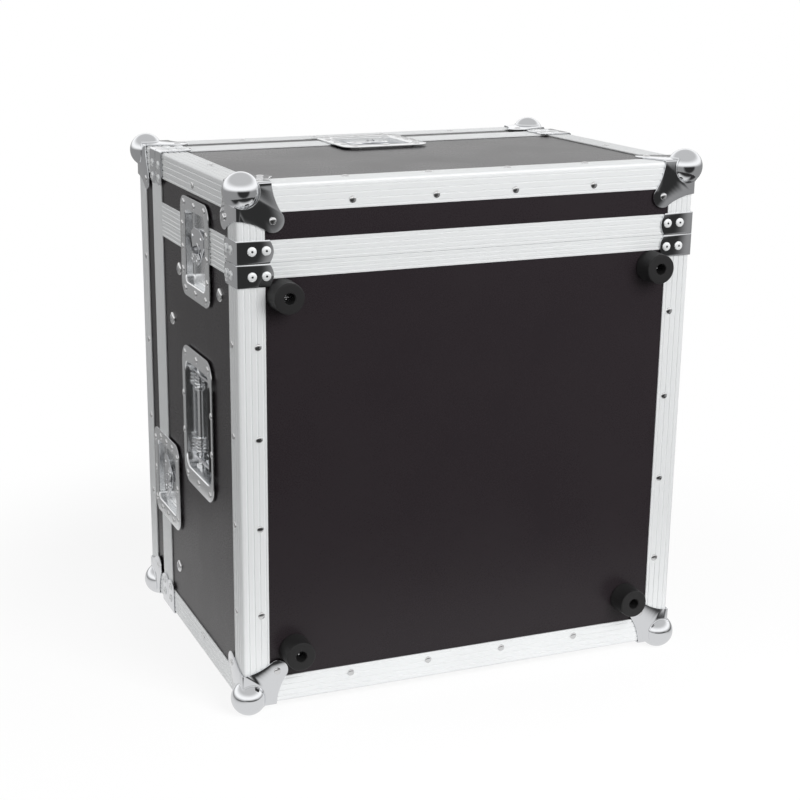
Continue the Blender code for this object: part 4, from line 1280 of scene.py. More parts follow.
@dataclass
class BallCorners:
    """Pressed ball corners: a ball with three curved wings, each with its rivet."""

    radius: float = 19.5 * MM
    inset: float = 7.5 * MM
    segments: int = 64
    wing_metal: float = 1.5 * MM
    wing_reach: float = 37 * MM
    lobe_centre: float = 38 * MM
    lobe_radius: float = 12.5 * MM
    lobe_turn: tuple[float, float] = (-20, 110)
    lobe_steps: int = 16
    curve_pull: float = 18 * MM
    curve_steps: int = 8
    bend: float = 2.2 * MM
    bend_steps: int = 4
    on_fold: float = 0.02 * MM
    rounding: float = 0.4 * MM
    sharp: float = 55
    fillet: float = 1.6 * MM
    fillet_steps: int = 6

    def outline(self) -> list[Point2]:
        """Outline of one wing, from the corner of the case.

        Returns:
            Its points.
        """
        base, reach, middle = -CASE.skin, self.wing_reach, self.lobe_centre
        lobe = arc((middle, middle), self.lobe_radius, *self.lobe_turn, self.lobe_steps)
        pull = (reach + CASE.metal, self.curve_pull)
        curve = [tuple((1 - t) ** 2 * a + 2 * t * (1 - t) * b + t * t * c
                       for a, b, c in zip((reach, 0), pull, lobe[0]))
                 for t in (k / self.curve_steps for k in range(self.curve_steps))]
        mirrored = [(y, x) for x, y in reversed(curve)]
        return [(base, base), (reach, base)] + curve + lobe + mirrored + [(base, reach)]

    def folds(self, shape: bmesh.types.BMesh) -> list[bmesh.types.BMEdge]:
        """The edges of the joined wings that lie on an outer fold.

        Args:
            shape: the joined wings.

        Returns:
            The edges.
        """
        folds = []
        for edge in shape.edges:
            low, high = (vert.co for vert in edge.verts)
            on_face = [abs(low[k] + CASE.skin) < self.on_fold
                       and abs(high[k] + CASE.skin) < self.on_fold for k in range(3)]
            if sum(on_face) == 2:
                folds.append(edge)
        return folds

    def wings(self) -> bpy.types.Mesh:
        """The three wings as one bent sheet, with the case's corner at the origin.

        Returns:
            A closed mesh.
        """
        wing = plate(self.outline(), -CASE.seat - self.wing_metal, -CASE.seat)
        others = [moved(wing, place((0, 0, 0), Y, Z, X)), moved(wing, place((0, 0, 0), Z, X, Y))]
        solid = cut(wing, others, "UNION")
        shape = bmesh.new()
        shape.from_mesh(solid)
        bmesh.ops.dissolve_limit(shape, angle_limit=radians(1), verts=shape.verts,
                                 edges=shape.edges)
        bmesh.ops.bevel(shape, geom=self.folds(shape), offset=self.bend,
                        segments=self.bend_steps, profile=0.5, affect="EDGES",
                        clamp_overlap=False)
        return softened(mesh_of(shape), self.rounding, angle=self.sharp)

    def ball(self) -> bpy.types.Mesh:
        """The part of the ball that stands outside the case, with its fillet on the wings.

        Returns:
            A mesh of closed shells.
        """
        base = -CASE.skin
        run = sqrt(self.radius ** 2 - (self.inset - base) ** 2)
        centre_depth = base - self.fillet
        reach = sqrt((self.radius + self.fillet) ** 2 - (self.inset - centre_depth) ** 2)
        profile = []
        for k in range(self.fillet_steps + 1):
            angle = radians(90 - 90 * k / self.fillet_steps)
            profile.append((reach - self.fillet * cos(angle), centre_depth
                            + self.fillet * sin(angle)))
        profile += [(run - self.fillet, centre_depth), (run - self.fillet, base + CASE.metal)]
        profile.append((reach, base + CASE.metal))
        collar = lathe(profile, self.segments, closed=True)
        middle = Matrix.Translation((self.inset, self.inset, 0))
        far = 4 * self.radius
        quarter = cut(moved(collar, middle), [block((base, base, -far), (far, far, far))],
                      "INTERSECT")
        shape = bmesh.new()
        bmesh.ops.create_uvsphere(shape, u_segments=self.segments, v_segments=self.segments // 2,
                                  radius=self.radius,
                                  matrix=Matrix.Translation((self.inset,) * 3))
        seat = -CASE.seat
        ball = cut(mesh_of(shape), [block((seat,) * 3, (far,) * 3)])
        collars = [(quarter, place((0, 0, 0), *axes)) for axes in ((X, Y, Z), (Y, Z, X), (Z, X, Y))]
        return joined([(ball, HERE), *collars])

    def frames(self, shell: Shell) -> dict[str, Matrix]:
        """Where the corners of one shell sit.

        Args:
            shell: the shell.

        Returns:
            The matrices of their places, by the names of their nodes.
        """
        rows = {Shell.LID: [("lid", CASE.front, CASE.top, 1, -1)],
                Shell.BODY: [("body", CASE.front, CASE.bottom, 1, 1)],
                Shell.COVER: [("cover_low", CASE.back, CASE.bottom, -1, 1),
                              ("cover_top", CASE.back, CASE.top, -1, -1)]}
        frames = {}
        for name, y, z, toward_y, toward_z in rows[shell]:
            for side, sign in (("left", -1), ("right", 1)):
                frames[f"{name}_{side}_ball_corner"] = place(
                    (sign * CASE.side, y, z), -sign * X, toward_y * Y, toward_z * Z)
        return frames

    def build(self) -> None:
        """Make the corners of the three shells with their rivets."""
        pressed = joined([(self.wings(), HERE), (self.ball(), HERE)])
        lobe, skin = self.lobe_centre, CASE.skin
        spots = [(Vector((lobe, lobe, -skin)), -Z), (Vector((-skin, lobe, lobe)), -X),
                 (Vector((lobe, -skin, lobe)), -Y)]
        for shell in Shell:
            frames, body = self.frames(shell), shell.value
            corners = joined((pressed, matrix) for matrix in frames.values())
            show(f"{body}_corners", corners, body, CHROME, list(frames))
            places = [spot for matrix in frames.values() for spot in in_case(spots, matrix)]
            FASTENERS.fit(f"{body}_corner_rivets", FASTENERS.rivet(), places, body, RIVET)


@dataclass
class Feet:
    """Turned rubber feet, each with a washer and a screw in its recess."""

    radius: float = 17.3 * MM
    tip_radius: float = 16.4 * MM
    height: float = 24 * MM
    recess_radius: float = 6 * MM
    recess_depth: float = 15 * MM
    mouth: float = 0.8 * MM
    bore: float = 2.8 * MM
    lip: float = 1.8 * MM
    lip_steps: int = 6
    sole_edge: float = 0.4 * MM
    collar_step: float = 0.3 * MM
    collar_heights: Point2 = (2.2 * MM, 2.8 * MM)
    washer_metal: float = 1 * MM
    washer_bore_gap: float = 0.1 * MM
    washer_rim_gap: float = 0.3 * MM
    washer_rounding: float = 0.15 * MM
    washer_sides: int = 32
    segments: int = 64
    places: dict[str, Point2] = field(default_factory=lambda: {
        "upper_left_foot": (-216.5 * MM, 455 * MM), "upper_right_foot": (216.5 * MM, 455 * MM),
        "lower_left_foot": (-206 * MM, 60 * MM), "lower_right_foot": (206 * MM, 60 * MM)})

    def foot(self) -> bpy.types.Mesh:
        """One foot, standing on the origin along +Z.

        Returns:
            A closed mesh.
        """
        floor, lip, tip = self.height - self.recess_depth, self.lip, self.tip_radius
        rim = arc((tip - lip, self.height - lip), lip, 0, 90, self.lip_steps)
        mouth = [(self.recess_radius + self.mouth, self.height),
                 (self.recess_radius, self.height - self.mouth)]
        profile = [(self.bore, 0), (self.radius - self.sole_edge, 0),
                   (self.radius, self.sole_edge), (self.radius, self.collar_heights[0]),
                   (self.radius - self.collar_step, self.collar_heights[1]), *rim, *mouth,
                   (self.recess_radius, floor), (self.bore, floor)]
        return lathe(profile, self.segments, closed=True)

    def washer(self) -> bpy.types.Mesh:
        """A washer that lies on the recess's floor.

        Returns:
            A closed mesh.
        """
        inner = self.bore + self.washer_bore_gap
        outer = self.recess_radius - self.washer_rim_gap
        ring = [(inner, 0), (outer, 0), (outer, self.washer_metal), (inner, self.washer_metal)]
        return softened(lathe(ring, self.washer_sides, closed=True), self.washer_rounding)

    def build(self) -> None:
        """Make the four feet with their washers and screws."""
        foot, washer = self.foot(), self.washer()
        floor = self.height - self.recess_depth
        frames = {name: place((x, CASE.front + CASE.metal, CASE.bottom + z), X, Z, -Y)
                  for name, (x, z) in self.places.items()}
        for name, matrix in frames.items():
            show(f"{name}_turned", moved(foot, matrix), "body", RUBBER, [name])
        washers = joined((washer, matrix @ Matrix.Translation((0, 0, floor)))
                         for matrix in frames.values())
        show("foot_washers", washers, "body", STEEL)
        spots = [(matrix @ Vector((0, 0, floor + self.washer_metal)), -Y)
                 for matrix in frames.values()]
        FASTENERS.fit("foot_screws", FASTENERS.screw(), spots, "body", RIVET)


@dataclass
class RailBolts:
    """Round heads of the bolts that hold the rack rails, on both sides of the body."""

    places: tuple[Point2, ...] = ((66 * MM, 445.5 * MM), (221 * MM, 445.5 * MM),
                                  (256 * MM, 380.6 * MM), (256 * MM, 70.8 * MM))

    def build(self) -> None:
        """Make the bolt heads."""
        spots = []
        for sign in (-1, 1):
            face = CASE.side - CASE.skin
            spots += [(Vector((sign * face, CASE.front + y, CASE.bottom + z)), sign * X)
                      for y, z in self.places]
        FASTENERS.fit("rail_bolt_heads", FASTENERS.bolt(), spots, "body", RIVET)


@dataclass(frozen=True)
class PressedDish:
    """Flanged sheet-metal dish with a rolled mouth and a rounded floor."""

    metal: float = 1.2 * MM
    floor_round: float = 1.5 * MM
    under_edge: Point2 = (0.1 * MM, 0.3 * MM)
    flange_edges: tuple[Point2, ...] = ((0, 0.5 * MM), (0.15 * MM, 0.15 * MM), (0.6 * MM, 0))
    mouth_bend: float = 2 * MM
    floor_bend: float = 2.4 * MM
    bend_angles: tuple[float, ...] = (90, 67.5, 45, 22.5, 0)

    def rings(self, flange: Sequence[float], opening: Sequence[float],
              depth: float) -> list[list[Vector]]:
        """Rings of the dish, from the outside of its floor round to the inside.

        Args:
            flange: lowest and highest x, lowest and highest y, and the corner radius.
            opening: the same five sizes of the opening.
            depth: how deep the floor lies behind the face.

        Returns:
            Rings with the same number of points.
        """
        def ring(sizes: Sequence[float], grow: float, z: float) -> list[Vector]:
            """One rounded rectangle, grown on every side."""
            x_low, x_high, y_low, y_high, radius = sizes
            outline = rounded(x_low - grow, x_high + grow, y_low - grow, y_high + grow,
                              radius + grow)
            return [Vector((x, y, z)) for x, y in outline]

        seat, metal, high = CASE.seat, self.metal, CASE.skin
        rings = [ring(opening, metal - self.floor_round, -depth - metal),
                 ring(opening, metal, -depth), ring(opening, metal, seat),
                 ring(flange, -self.under_edge[0], seat),
                 ring(flange, 0, seat + self.under_edge[1])]
        rings += [ring(flange, -inset, high - drop) for inset, drop in self.flange_edges]
        bend = self.mouth_bend
        for angle in self.bend_angles:
            turn = radians(angle)
            rings.append(ring(opening, bend * (1 - cos(turn)), high - bend * (1 - sin(turn))))
        bend = self.floor_bend
        for angle in reversed(self.bend_angles):
            turn = radians(angle)
            rings.append(ring(opening, -bend * (1 - cos(turn)), bend * (1 - sin(turn)) - depth))
        return rings


DISH = PressedDish()


def halved(mesh: bpy.types.Mesh, at: float, keep_low: bool) -> bpy.types.Mesh:
    """The part of a closed mesh on one side of a plane across X.

    Args:
        mesh: the mesh.
        at: where the plane lies.
        keep_low: keep the side of lower x.

    Returns:
        A closed mesh.
    """
    shape = bmesh.new()
    shape.from_mesh(mesh)
    geometry = [*shape.verts, *shape.edges, *shape.faces]
    result = bmesh.ops.bisect_plane(shape, geom=geometry, plane_co=(at, 0, 0), plane_no=(1, 0, 0),
                                    clear_outer=keep_low, clear_inner=not keep_low)
    edges = [item for item in result["geom_cut"] if isinstance(item, bmesh.types.BMEdge)]
    bmesh.ops.edgeloop_fill(shape, edges=edges)
    return mesh_of(shape)


@dataclass
class SprungHandle:
    """Recessed handle: a dish with its hinge rod and springs, and a bow with a moulded grip."""

    width: float = 115.4 * MM
    length: float = 163 * MM
    corner: float = 20 * MM
    open_width: float = 100 * MM
    open_length: float = 126 * MM
    open_corner: float = 16 * MM
    depth: float = 27 * MM
    hinge_offset: float = 36 * MM
    hinge_depth: float = 12.5 * MM
    clearance: float = 0.4 * MM
    rod_radius: float = 3.2 * MM
    rod_past: float = 0.6 * MM
    rod_edge: float = 0.7 * MM
    rod_sides: int = 32
    boss_wall: float = 2.6 * MM
    boss_length: float = 4 * MM
    collar_radius: float = 6.2 * MM
    collar_span: float = 61 * MM
    collar_width: float = 4 * MM
    spring_radius: float = 5.0 * MM
    spring_wire: float = 1.0 * MM
    spring_turns: float = 4
    grip_radius: float = 12 * MM
    grip_length: float = 98 * MM
    grip_distance: float = 72 * MM
    grip_round: float = 3 * MM
    grip_flutes: int = 22
    flute_depth: float = 0.45 * MM
    flute_steps: int = 6
    flute_ends: Point2 = (6 * MM, 9 * MM)
    core_radius: float = 4 * MM
    core_sides: int = 24
    arm: float = 3 * MM
    arm_width: float = 10 * MM
    arm_rounding: float = 0.5 * MM
    eye_radius: float = 7 * MM
    eye_steps: int = 16
    tip_steps: int = 12
    head_rims: tuple[Point2, Point2] = ((1.6 * MM, 0), (1.2 * MM, 0.9 * MM))
    head_height: float = 1.1 * MM
    head_sunk: float = 0.1 * MM
    rivet_side: float = 22 * MM
    rivet_corner: float = 13 * MM

    def dish(self) -> bpy.types.Mesh:
        """The pressed dish, with the rod, its collars and its end bosses.

        Returns:
            A mesh of closed shells.
        """
        half_wide, half_long = self.width / 2, self.length / 2
        open_wide, open_long = self.open_width / 2, self.open_length / 2
        pressed = loft(DISH.rings((-half_wide, half_wide, -half_long, half_long, self.corner),
                                  (-open_wide, open_wide, -open_long, open_long,
                                   self.open_corner), self.depth))
        hinge = Matrix.Translation((-self.hinge_offset, 0, -self.hinge_depth))
        return joined([(pressed, HERE), (self.rod(), hinge)])

    def rod(self) -> bpy.types.Mesh:
        """Hinge rod along Y, with two collars and a boss at each end.

        Returns:
            A closed mesh.
        """
        half, rod = self.open_length / 2 + self.rod_past, self.rod_radius
        near = self.collar_span / 2 - self.collar_width / 2
        collar, far, soft = self.collar_radius, near + self.collar_width, self.rod_edge
        boss, reach = rod + self.boss_wall, half - self.boss_length
        side = [(0, half), (boss, half), (boss, reach + soft), (boss - soft, reach), (rod, reach),
                (rod, far), (collar - soft, far), (collar, far - soft), (collar, near + soft),
                (collar - soft, near), (rod, near)]
        profile = side + [(radius, -along) for radius, along in reversed(side)]
        return moved(lathe(profile, self.rod_sides), place((0, 0, 0), Z, X, Y))

    def springs(self) -> bpy.types.Mesh:
        """The two coil springs round the rod.

        Returns:
            A mesh of closed shells.
        """
        start = self.collar_span / 2 + self.collar_width / 2 - self.spring_wire / 2
        height = self.grip_length / 2 - self.spring_wire - start
        parts = []
        for sign in (-1, 1):
            point = bpy.data.meshes.new("start")
            point.from_pydata([(0, 0, 0)], [], [])
            coil = SPRING.run(point, {"Turns": self.spring_turns, "Radius": self.spring_radius,
                                      "Height": height, "Wire": self.spring_wire,
                                      "Finish": NICKEL.material()})
            along = place((0, sign * start, 0), Z, sign * X, sign * Y)
            parts.append((coil, along))
        return joined(parts)

    def bow(self) -> bpy.types.Mesh:
        """Two arms with eyes and the core between them, about the hinge.

        Returns:
            A mesh of closed shells.
        """
        eye, tip = self.eye_radius, self.arm_width / 2
        outline = (arc((0, 0), eye, 90, 270, self.eye_steps)
                   + arc((self.grip_distance, 0), tip, -90, 90, self.tip_steps))
        hole = arc((0, 0), self.rod_radius + self.clearance, 0, 360, self.core_sides)[:-1]
        near = self.grip_length / 2 + CASE.seat
        turn = place((0, 0, 0), X, Z, -Y)
        parts = []
        for low in (near, -near - self.arm):
            parts.append((plate(outline, low, low + self.arm, self.arm_rounding, [hole]), turn))
        rims = [(self.core_radius + grow, along) for grow, along in self.head_rims]
        head = lathe([(0, 0), *rims, (0, self.head_height)], self.core_sides)
        for sign in (-1, 1):
            spot = (self.grip_distance, sign * (near + self.arm - self.head_sunk), 0)
            parts.append((head, place(spot, Z, sign * X, sign * Y)))
        half = near + self.arm / 2
        core = lathe([(0, -half), (self.core_radius, -half), (self.core_radius, half), (0, half)],
                     self.core_sides)
        parts.append((core, place((self.grip_distance, 0, 0), Z, X, Y)))
        return joined(parts)

    def grip(self) -> bpy.types.Mesh:
        """Moulded grip with fine flutes and round ends, about the hinge.

        Returns:
            A closed mesh.
        """
        half, soft, bore = self.grip_length / 2, self.grip_round, self.core_radius + CASE.seat
        outer = [(self.grip_radius - soft + soft * sin(a), half - soft + soft * cos(a))
                 for a in quarter_turn()]
        side = [(bore, half)] + outer + [(self.grip_radius, half - end) for end in self.flute_ends]
        fluted = [0] * (len(side) - 1) + [1]
        rows = list(zip(side, fluted))
        rows += [((radius, -along), depth) for (radius, along), depth in reversed(rows)]
        count = self.grip_flutes * self.flute_steps
        rings = []
        for (radius, along), depth in rows:
            ring = []
            for k in range(count):
                angle = tau * k / count
                wave = max(0.0, -cos(self.grip_flutes * angle)) ** 2
                reach = radius - self.flute_depth * depth * wave
                ring.append(Vector((self.grip_distance + reach * cos(angle), along,
                                    reach * sin(angle))))
            rings.append(ring)
        return loft(rings, closed=True)

    def rivet_spots(self) -> list[Spot]:
        """The rivets of the flange, in the handle's frame.

        Returns:
            Their spots.
        """
        across = (self.width + self.open_width) / 4
        along = (self.length + self.open_length) / 4
        corner = self.width / 2 - self.rivet_corner
        spots = [(x * across, y * self.rivet_side) for x in (-1, 1) for y in (-1, 1)]
        spots += [(x, sign * along) for x in (-corner, 0, corner) for sign in (-1, 1)]
        return [(Vector((x, y, CASE.skin)), Z) for x, y in spots]

    def build(self) -> None:
        """Make the two handles."""
        dish, springs, bow, grip = self.dish(), self.springs(), self.bow(), self.grip()
        spots = []
        for side, matrix in HANDLE_FRAMES.items():
            hinge = matrix @ Matrix.Translation((-self.hinge_offset, 0, -self.hinge_depth))
            show(f"{side}_handle_pressed_dish", moved(dish, matrix), "body", NICKEL,
                 [f"{side}_handle_dish"])
            show(f"{side}_handle_springs", moved(springs, hinge), "body", NICKEL)
            body = f"{side}_handle"
            show(f"{side}_handle_steel_bow", moved(bow, hinge), body, CHROME,
                 [f"{side}_handle_bow"])
            show(f"{side}_handle_moulded_grip", moved(grip, hinge), body, RUBBER,
                 [f"{side}_handle_grip"])
            spots += in_case(self.rivet_spots(), matrix)
        FASTENERS.fit("handle_rivets", FASTENERS.rivet(), spots, "body", RIVET)


@dataclass
class ButterflyLatch:
    """Recessed latch: two half dishes, a hook plate, a cam post and a folding key."""

    half_width: float = 54 * MM
    fixed_length: float = 66.5 * MM
    strike_length: float = 45.5 * MM
    corner: float = 16 * MM
    open_half_width: float = 38 * MM
    open_fixed: float = 50.5 * MM
    open_strike: float = 30.5 * MM
    open_corner: float = 8 * MM
    depth: float = 9.3 * MM
    clearance: float = 0.4 * MM
    hook_top: float = 1.0 * MM
    hook_metal: float = 1.5 * MM
    hook_rounding: float = 0.35 * MM
    hook_corners: tuple[float, float, float] = (2 * MM, 1.5 * MM, 1.2 * MM)
    tail_shares: tuple[float, float] = (0.8, 0.62)
    travel: float = 3.5 * MM
    nose_reach: float = 14 * MM
    tail_reach: float = 23 * MM
    plate_half: float = 26 * MM
    tail_half: float = 13 * MM
    nose_half: float = 12 * MM
    nose_metal: float = 2 * MM
    nose_depth: float = 4.8 * MM
    edge_rounding: float = 0.4 * MM
    ring_height: float = 0.4 * MM
    ring_widths: tuple[float, float, float] = (0.4 * MM, 1.7 * MM, 2.4 * MM)
    ring_edge: float = 0.1 * MM
    sunk: float = 0.3 * MM
    stud_place: Point2 = (11 * MM, 15.5 * MM)
    stud_radii: tuple[float, float, float] = (3.2 * MM, 2.6 * MM, 1.6 * MM)
    stud_height: float = 0.9 * MM
    lip_metal: float = 2.2 * MM
    lip_half: float = 15 * MM
    lip_sunk: float = 0.6 * MM
    post_offset: float = 9.5 * MM
    post_radius: float = 5 * MM
    post_edge: float = 0.5 * MM
    post_sides: int = 40
    cam_radius: float = 6.5 * MM
    cam_offset: float = 2.2 * MM
    cam_edge: float = 0.3 * MM
    key_metal: float = 1.6 * MM
    key_rounding: float = 0.45 * MM
    pivot_out: float = 0.5 * MM
    pin_radius: float = 1.0 * MM
    pin_sides: int = 16
    lobe_radius: float = 6.5 * MM
    lobe_spread: float = 8.5 * MM
    lobe_out: float = 9 * MM
    lobe_steps: int = 20
    waist: float = 3 * MM
    dimple_radii: tuple[float, ...] = (2.0 * MM, 3.8 * MM, 3.4 * MM, 2.6 * MM)
    dimple_height: float = 0.45 * MM
    dimple_sunk: float = 0.05 * MM
    small_sides: int = 24
    hole_sides: int = 32
    rivet_side: float = 13 * MM
    rivet_tail: float = 38 * MM
    rivet_corner: float = 15 * MM

    def half_dish(self, fixed: bool) -> bpy.types.Mesh:
        """The fixed or the strike half of the dish; the strike half has the hook's lip.

        Args:
            fixed: make the fixed half.

        Returns:
            A mesh of closed shells.
        """
        dish = loft(DISH.rings(
            (-self.fixed_length, self.strike_length, -self.half_width, self.half_width,
             self.corner),
            (-self.open_fixed, self.open_strike, -self.open_half_width, self.open_half_width,
             self.open_corner), self.depth))
        half = CASE.half_seat
        part = halved(dish, -half if fixed else half, fixed)
        if fixed:
            return part
        high = self.nose_reach - self.nose_metal - 2 * CASE.seat
        drawn = self.hook_top + self.hook_metal + self.travel
        lip = softened(block((high - self.lip_metal, -self.lip_half, -self.depth - self.lip_sunk),
                             (high, self.lip_half, -drawn - 2 * CASE.seat)), self.edge_rounding)
        return joined([(part, HERE), (lip, HERE)])

    def hook_outline(self) -> list[Point2]:
        """Outline of the hook plate, about the post.

        Returns:
            Its points.
        """
        wide, tail, nose = self.plate_half, self.tail_half, self.nose_half
        front = self.nose_reach + self.post_offset
        back = self.post_offset - self.tail_reach
        shoulder, rear, tip = self.hook_corners
        near, end = self.tail_shares
        half = [(front, nose), (front - self.nose_metal, nose + self.nose_metal),
                (front - nose / 2, wide - shoulder), (front - nose / 2 - shoulder, wide),
                (front - 1.5 * nose, wide), (front - 1.5 * nose - rear, wide - rear),
                (back + tail / 3, tail), (back + tip, tail * near), (back, tail * end)]
        return [(x, -y) for x, y in half] + half[::-1]

    def hook(self) -> bpy.types.Mesh:
        """Hook plate with a stamped ring round its hole and a turned-in nose.

        Returns:
            A mesh of closed shells.
        """
        nose = self.nose_half
        front = self.nose_reach + self.post_offset
        bore = self.post_radius + self.clearance
        hole = arc((0, 0), bore, 0, 360, self.hole_sides)[:-1]
        flat = plate(self.hook_outline(), -self.hook_top - self.hook_metal, -self.hook_top,
                     self.hook_rounding, [hole])
        high, low = -self.hook_top + self.ring_height, -self.hook_top - self.sunk
        inner, flat_end, outer = (bore + width for width in self.ring_widths)
        ring = lathe([(bore, low), (bore, high - self.ring_edge), (inner, high), (flat_end, high),
                      (outer, -self.hook_top), (outer, low)], self.post_sides, closed=True)
        tip = softened(block((front - self.nose_metal, -nose + CASE.seat, -self.nose_depth),
                             (front, nose - CASE.seat, -self.hook_top - self.hook_metal / 2)),
                       self.edge_rounding)
        parts = [(flat, HERE), (ring, HERE), (tip, HERE)]
        stud = self.stud()
        back, side = self.stud_place
        for sign in (-1, 1):
            parts.append((stud, Matrix.Translation((front - back, sign * side, 0))))
        return joined(parts)

    def stud(self) -> bpy.types.Mesh:
        """Small stamped stud that stiffens the hook plate.

        Returns:
            A closed mesh.
        """
        low, high = -self.hook_top - self.sunk, -self.hook_top + self.stud_height
        foot, shoulder, top = self.stud_radii
        return lathe([(0, low), (foot, low), (foot, -self.hook_top),
                      (shoulder, high - self.edge_rounding), (top, high), (0, high)],
                     self.small_sides)

    def post(self) -> bpy.types.Mesh:
        """Turning post with a cam at its foot and a slot for the key.

        Returns:
            A mesh of closed shells.
        """
        foot = CASE.seat - self.depth
        cam_top = -self.hook_top - self.hook_metal - self.travel - 2 * CASE.seat
        head = self.pivot_out + self.key_metal / 2 + self.pin_radius
        radius, soft = self.post_radius, self.post_edge
        post = lathe([(0, foot), (radius, foot), (radius, head - soft),
                      (radius - soft, head), (0, head)], self.post_sides)
        half = self.waist + CASE.seat
        floor = self.pivot_out - self.key_metal / 2 - self.pin_radius / 2
        post = cut(post, [block((-2 * radius, -half, floor), (2 * radius, half, 2 * head))])
        radius, soft = self.cam_radius, self.cam_edge
        cam = lathe([(0, foot), (radius, foot), (radius, cam_top - soft),
                     (radius - soft, cam_top), (0, cam_top)], self.post_sides)
        return joined([(post, HERE), (cam, Matrix.Translation((-self.cam_offset, 0, 0)))])

    def key(self) -> bpy.types.Mesh:
        """Butterfly blade with its pin, lying toward -X of its pivot.

        Returns:
            A mesh of closed shells.
        """
        turn = asin((self.lobe_spread - self.waist) / self.lobe_radius)
        steps = self.lobe_steps
        lobe = [(self.lobe_out + self.lobe_radius * cos(a),
                 self.lobe_spread + self.lobe_radius * sin(a))
                for a in (-turn + (pi + 2 * turn) * k / steps for k in range(steps + 1))]
        upper = lobe + [(-self.key_metal / 2, self.waist)]
        outline = [(-x, y) for x, y in upper] + [(-x, -y) for x, y in upper[::-1]]
        blade = plate(outline, -self.key_metal / 2, self.key_metal / 2, self.key_rounding)
        reach = self.post_radius - self.clearance
        pin = lathe([(0, -reach), (self.pin_radius, -reach), (self.pin_radius, reach),
                     (0, reach)], self.pin_sides)
        parts = [(blade, HERE), (pin, place((0, 0, 0), Z, X, Y))]
        high = self.dimple_height
        dimple = lathe(list(zip(self.dimple_radii, (0, 0, high, high))), self.small_sides,
                       closed=True)
        for sign in (-1, 1):
            spot = (-self.lobe_out, sign * self.lobe_spread, self.key_metal / 2 - self.dimple_sunk)
            parts.append((dimple, Matrix.Translation(spot)))
        return joined(parts)

    def rivet_spots(self, fixed: bool) -> list[Spot]:
        """The rivets of one half of the flange, in the latch's frame.

        Args:
            fixed: those of the fixed half.

        Returns:
            Their spots.
        """
        across = (self.half_width + self.open_half_width) / 2
        corner = self.half_width - self.rivet_corner
        side, far = self.rivet_side, (self.strike_length + self.open_strike) / 2
        if fixed:
            side, far = -side, -(self.fixed_length + self.open_fixed) / 2
        spots = [(side, sign * across) for sign in (-1, 1)]
        spots += [(far, y) for y in (-corner, 0, corner)]
        if fixed:
            spots += [(-self.rivet_tail, sign * across) for sign in (-1, 1)]
        return [(Vector((x, y, CASE.skin)), Z) for x, y in spots]

    def build(self) -> None:
        """Make the five latches, each piece on the body of the node that it stands for."""
        meshes = {"dish": self.half_dish(True), "strike": self.half_dish(False),
                  "hook": self.hook(), "post": self.post(), "key": self.key()}
        finishes = {"dish": NICKEL, "strike": NICKEL, "hook": CHROME, "post": STEEL,
                    "key": CHROME}
        spots: dict[str, list[Spot]] = {}
        for name, matrix in LATCH_FRAMES.items():
            axis = matrix @ Matrix.Translation((-self.post_offset, 0, 0))
            pivot = axis @ Matrix.Translation((0, 0, self.pivot_out))
            places = {"dish": matrix, "strike": matrix, "hook": axis, "post": axis, "key": pivot}
            for part, mesh in meshes.items():
                node = f"{name}_latch_{part}"
                body = frame["nodes"][node]["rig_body"]
                pressed = part in ("dish", "strike")
                show(f"{name}_pressed_{part}" if pressed else f"{name}_fine_{part}",
                     moved(mesh, places[part]), body, finishes[part], [node])
                if pressed:
                    spots.setdefault(body, [])
                    spots[body] += in_case(self.rivet_spots(part == "dish"), matrix)
        for body, rivets in spots.items():
            FASTENERS.fit(f"{body}_latch_rivets", FASTENERS.rivet(), rivets, body, RIVET)


@dataclass
class FramePieces:
    """The frame's own pieces that stay, with their finishes."""

    panels: tuple[str, ...] = ("body_front_panel", "body_bottom_panel", "body_left_panel",
                               "body_right_panel", "lid_shell", "cover_back_panel",
                               "cover_walls")
    rails: tuple[str, ...] = ("left_top_rack_rail", "right_top_rack_rail",
                              "left_back_rack_rail", "right_back_rack_rail")

    def build(self) -> None:
        """Give the panels and the rails their finishes."""
        for names, finish in ((self.panels, LAMINATE), (self.rails, STEEL)):
            for name in names:
                mesh = frame["nodes"][name].data
                mesh.materials.clear()
                mesh.materials.append(finish.material())
                log.info("%s: keeps its form, finish %s", name, finish.name)


@dataclass(frozen=True)
class Lamp:
    """A soft square lamp that only lights, and isn't seen in metal."""

    name: str
    spot: tuple[float, float, float]
    size: float
    power: float

    def hang(self, target: Vector) -> None:
        """Hang the lamp so that it faces a point.

        Args:
            target: the point.
        """
        data = bpy.data.lights.new(self.name, "AREA")
        data.size = self.size
        data.energy = self.power
        lamp = bpy.data.objects.new(self.name, data)
        bpy.context.scene.collection.objects.link(lamp)
        turn = (target - Vector(self.spot)).to_track_quat("-Z", "Y").to_matrix().to_4x4()
        lamp.matrix_world = Matrix.Translation(self.spot) @ turn
        lamp.visible_glossy = False
        lamp.visible_camera = False


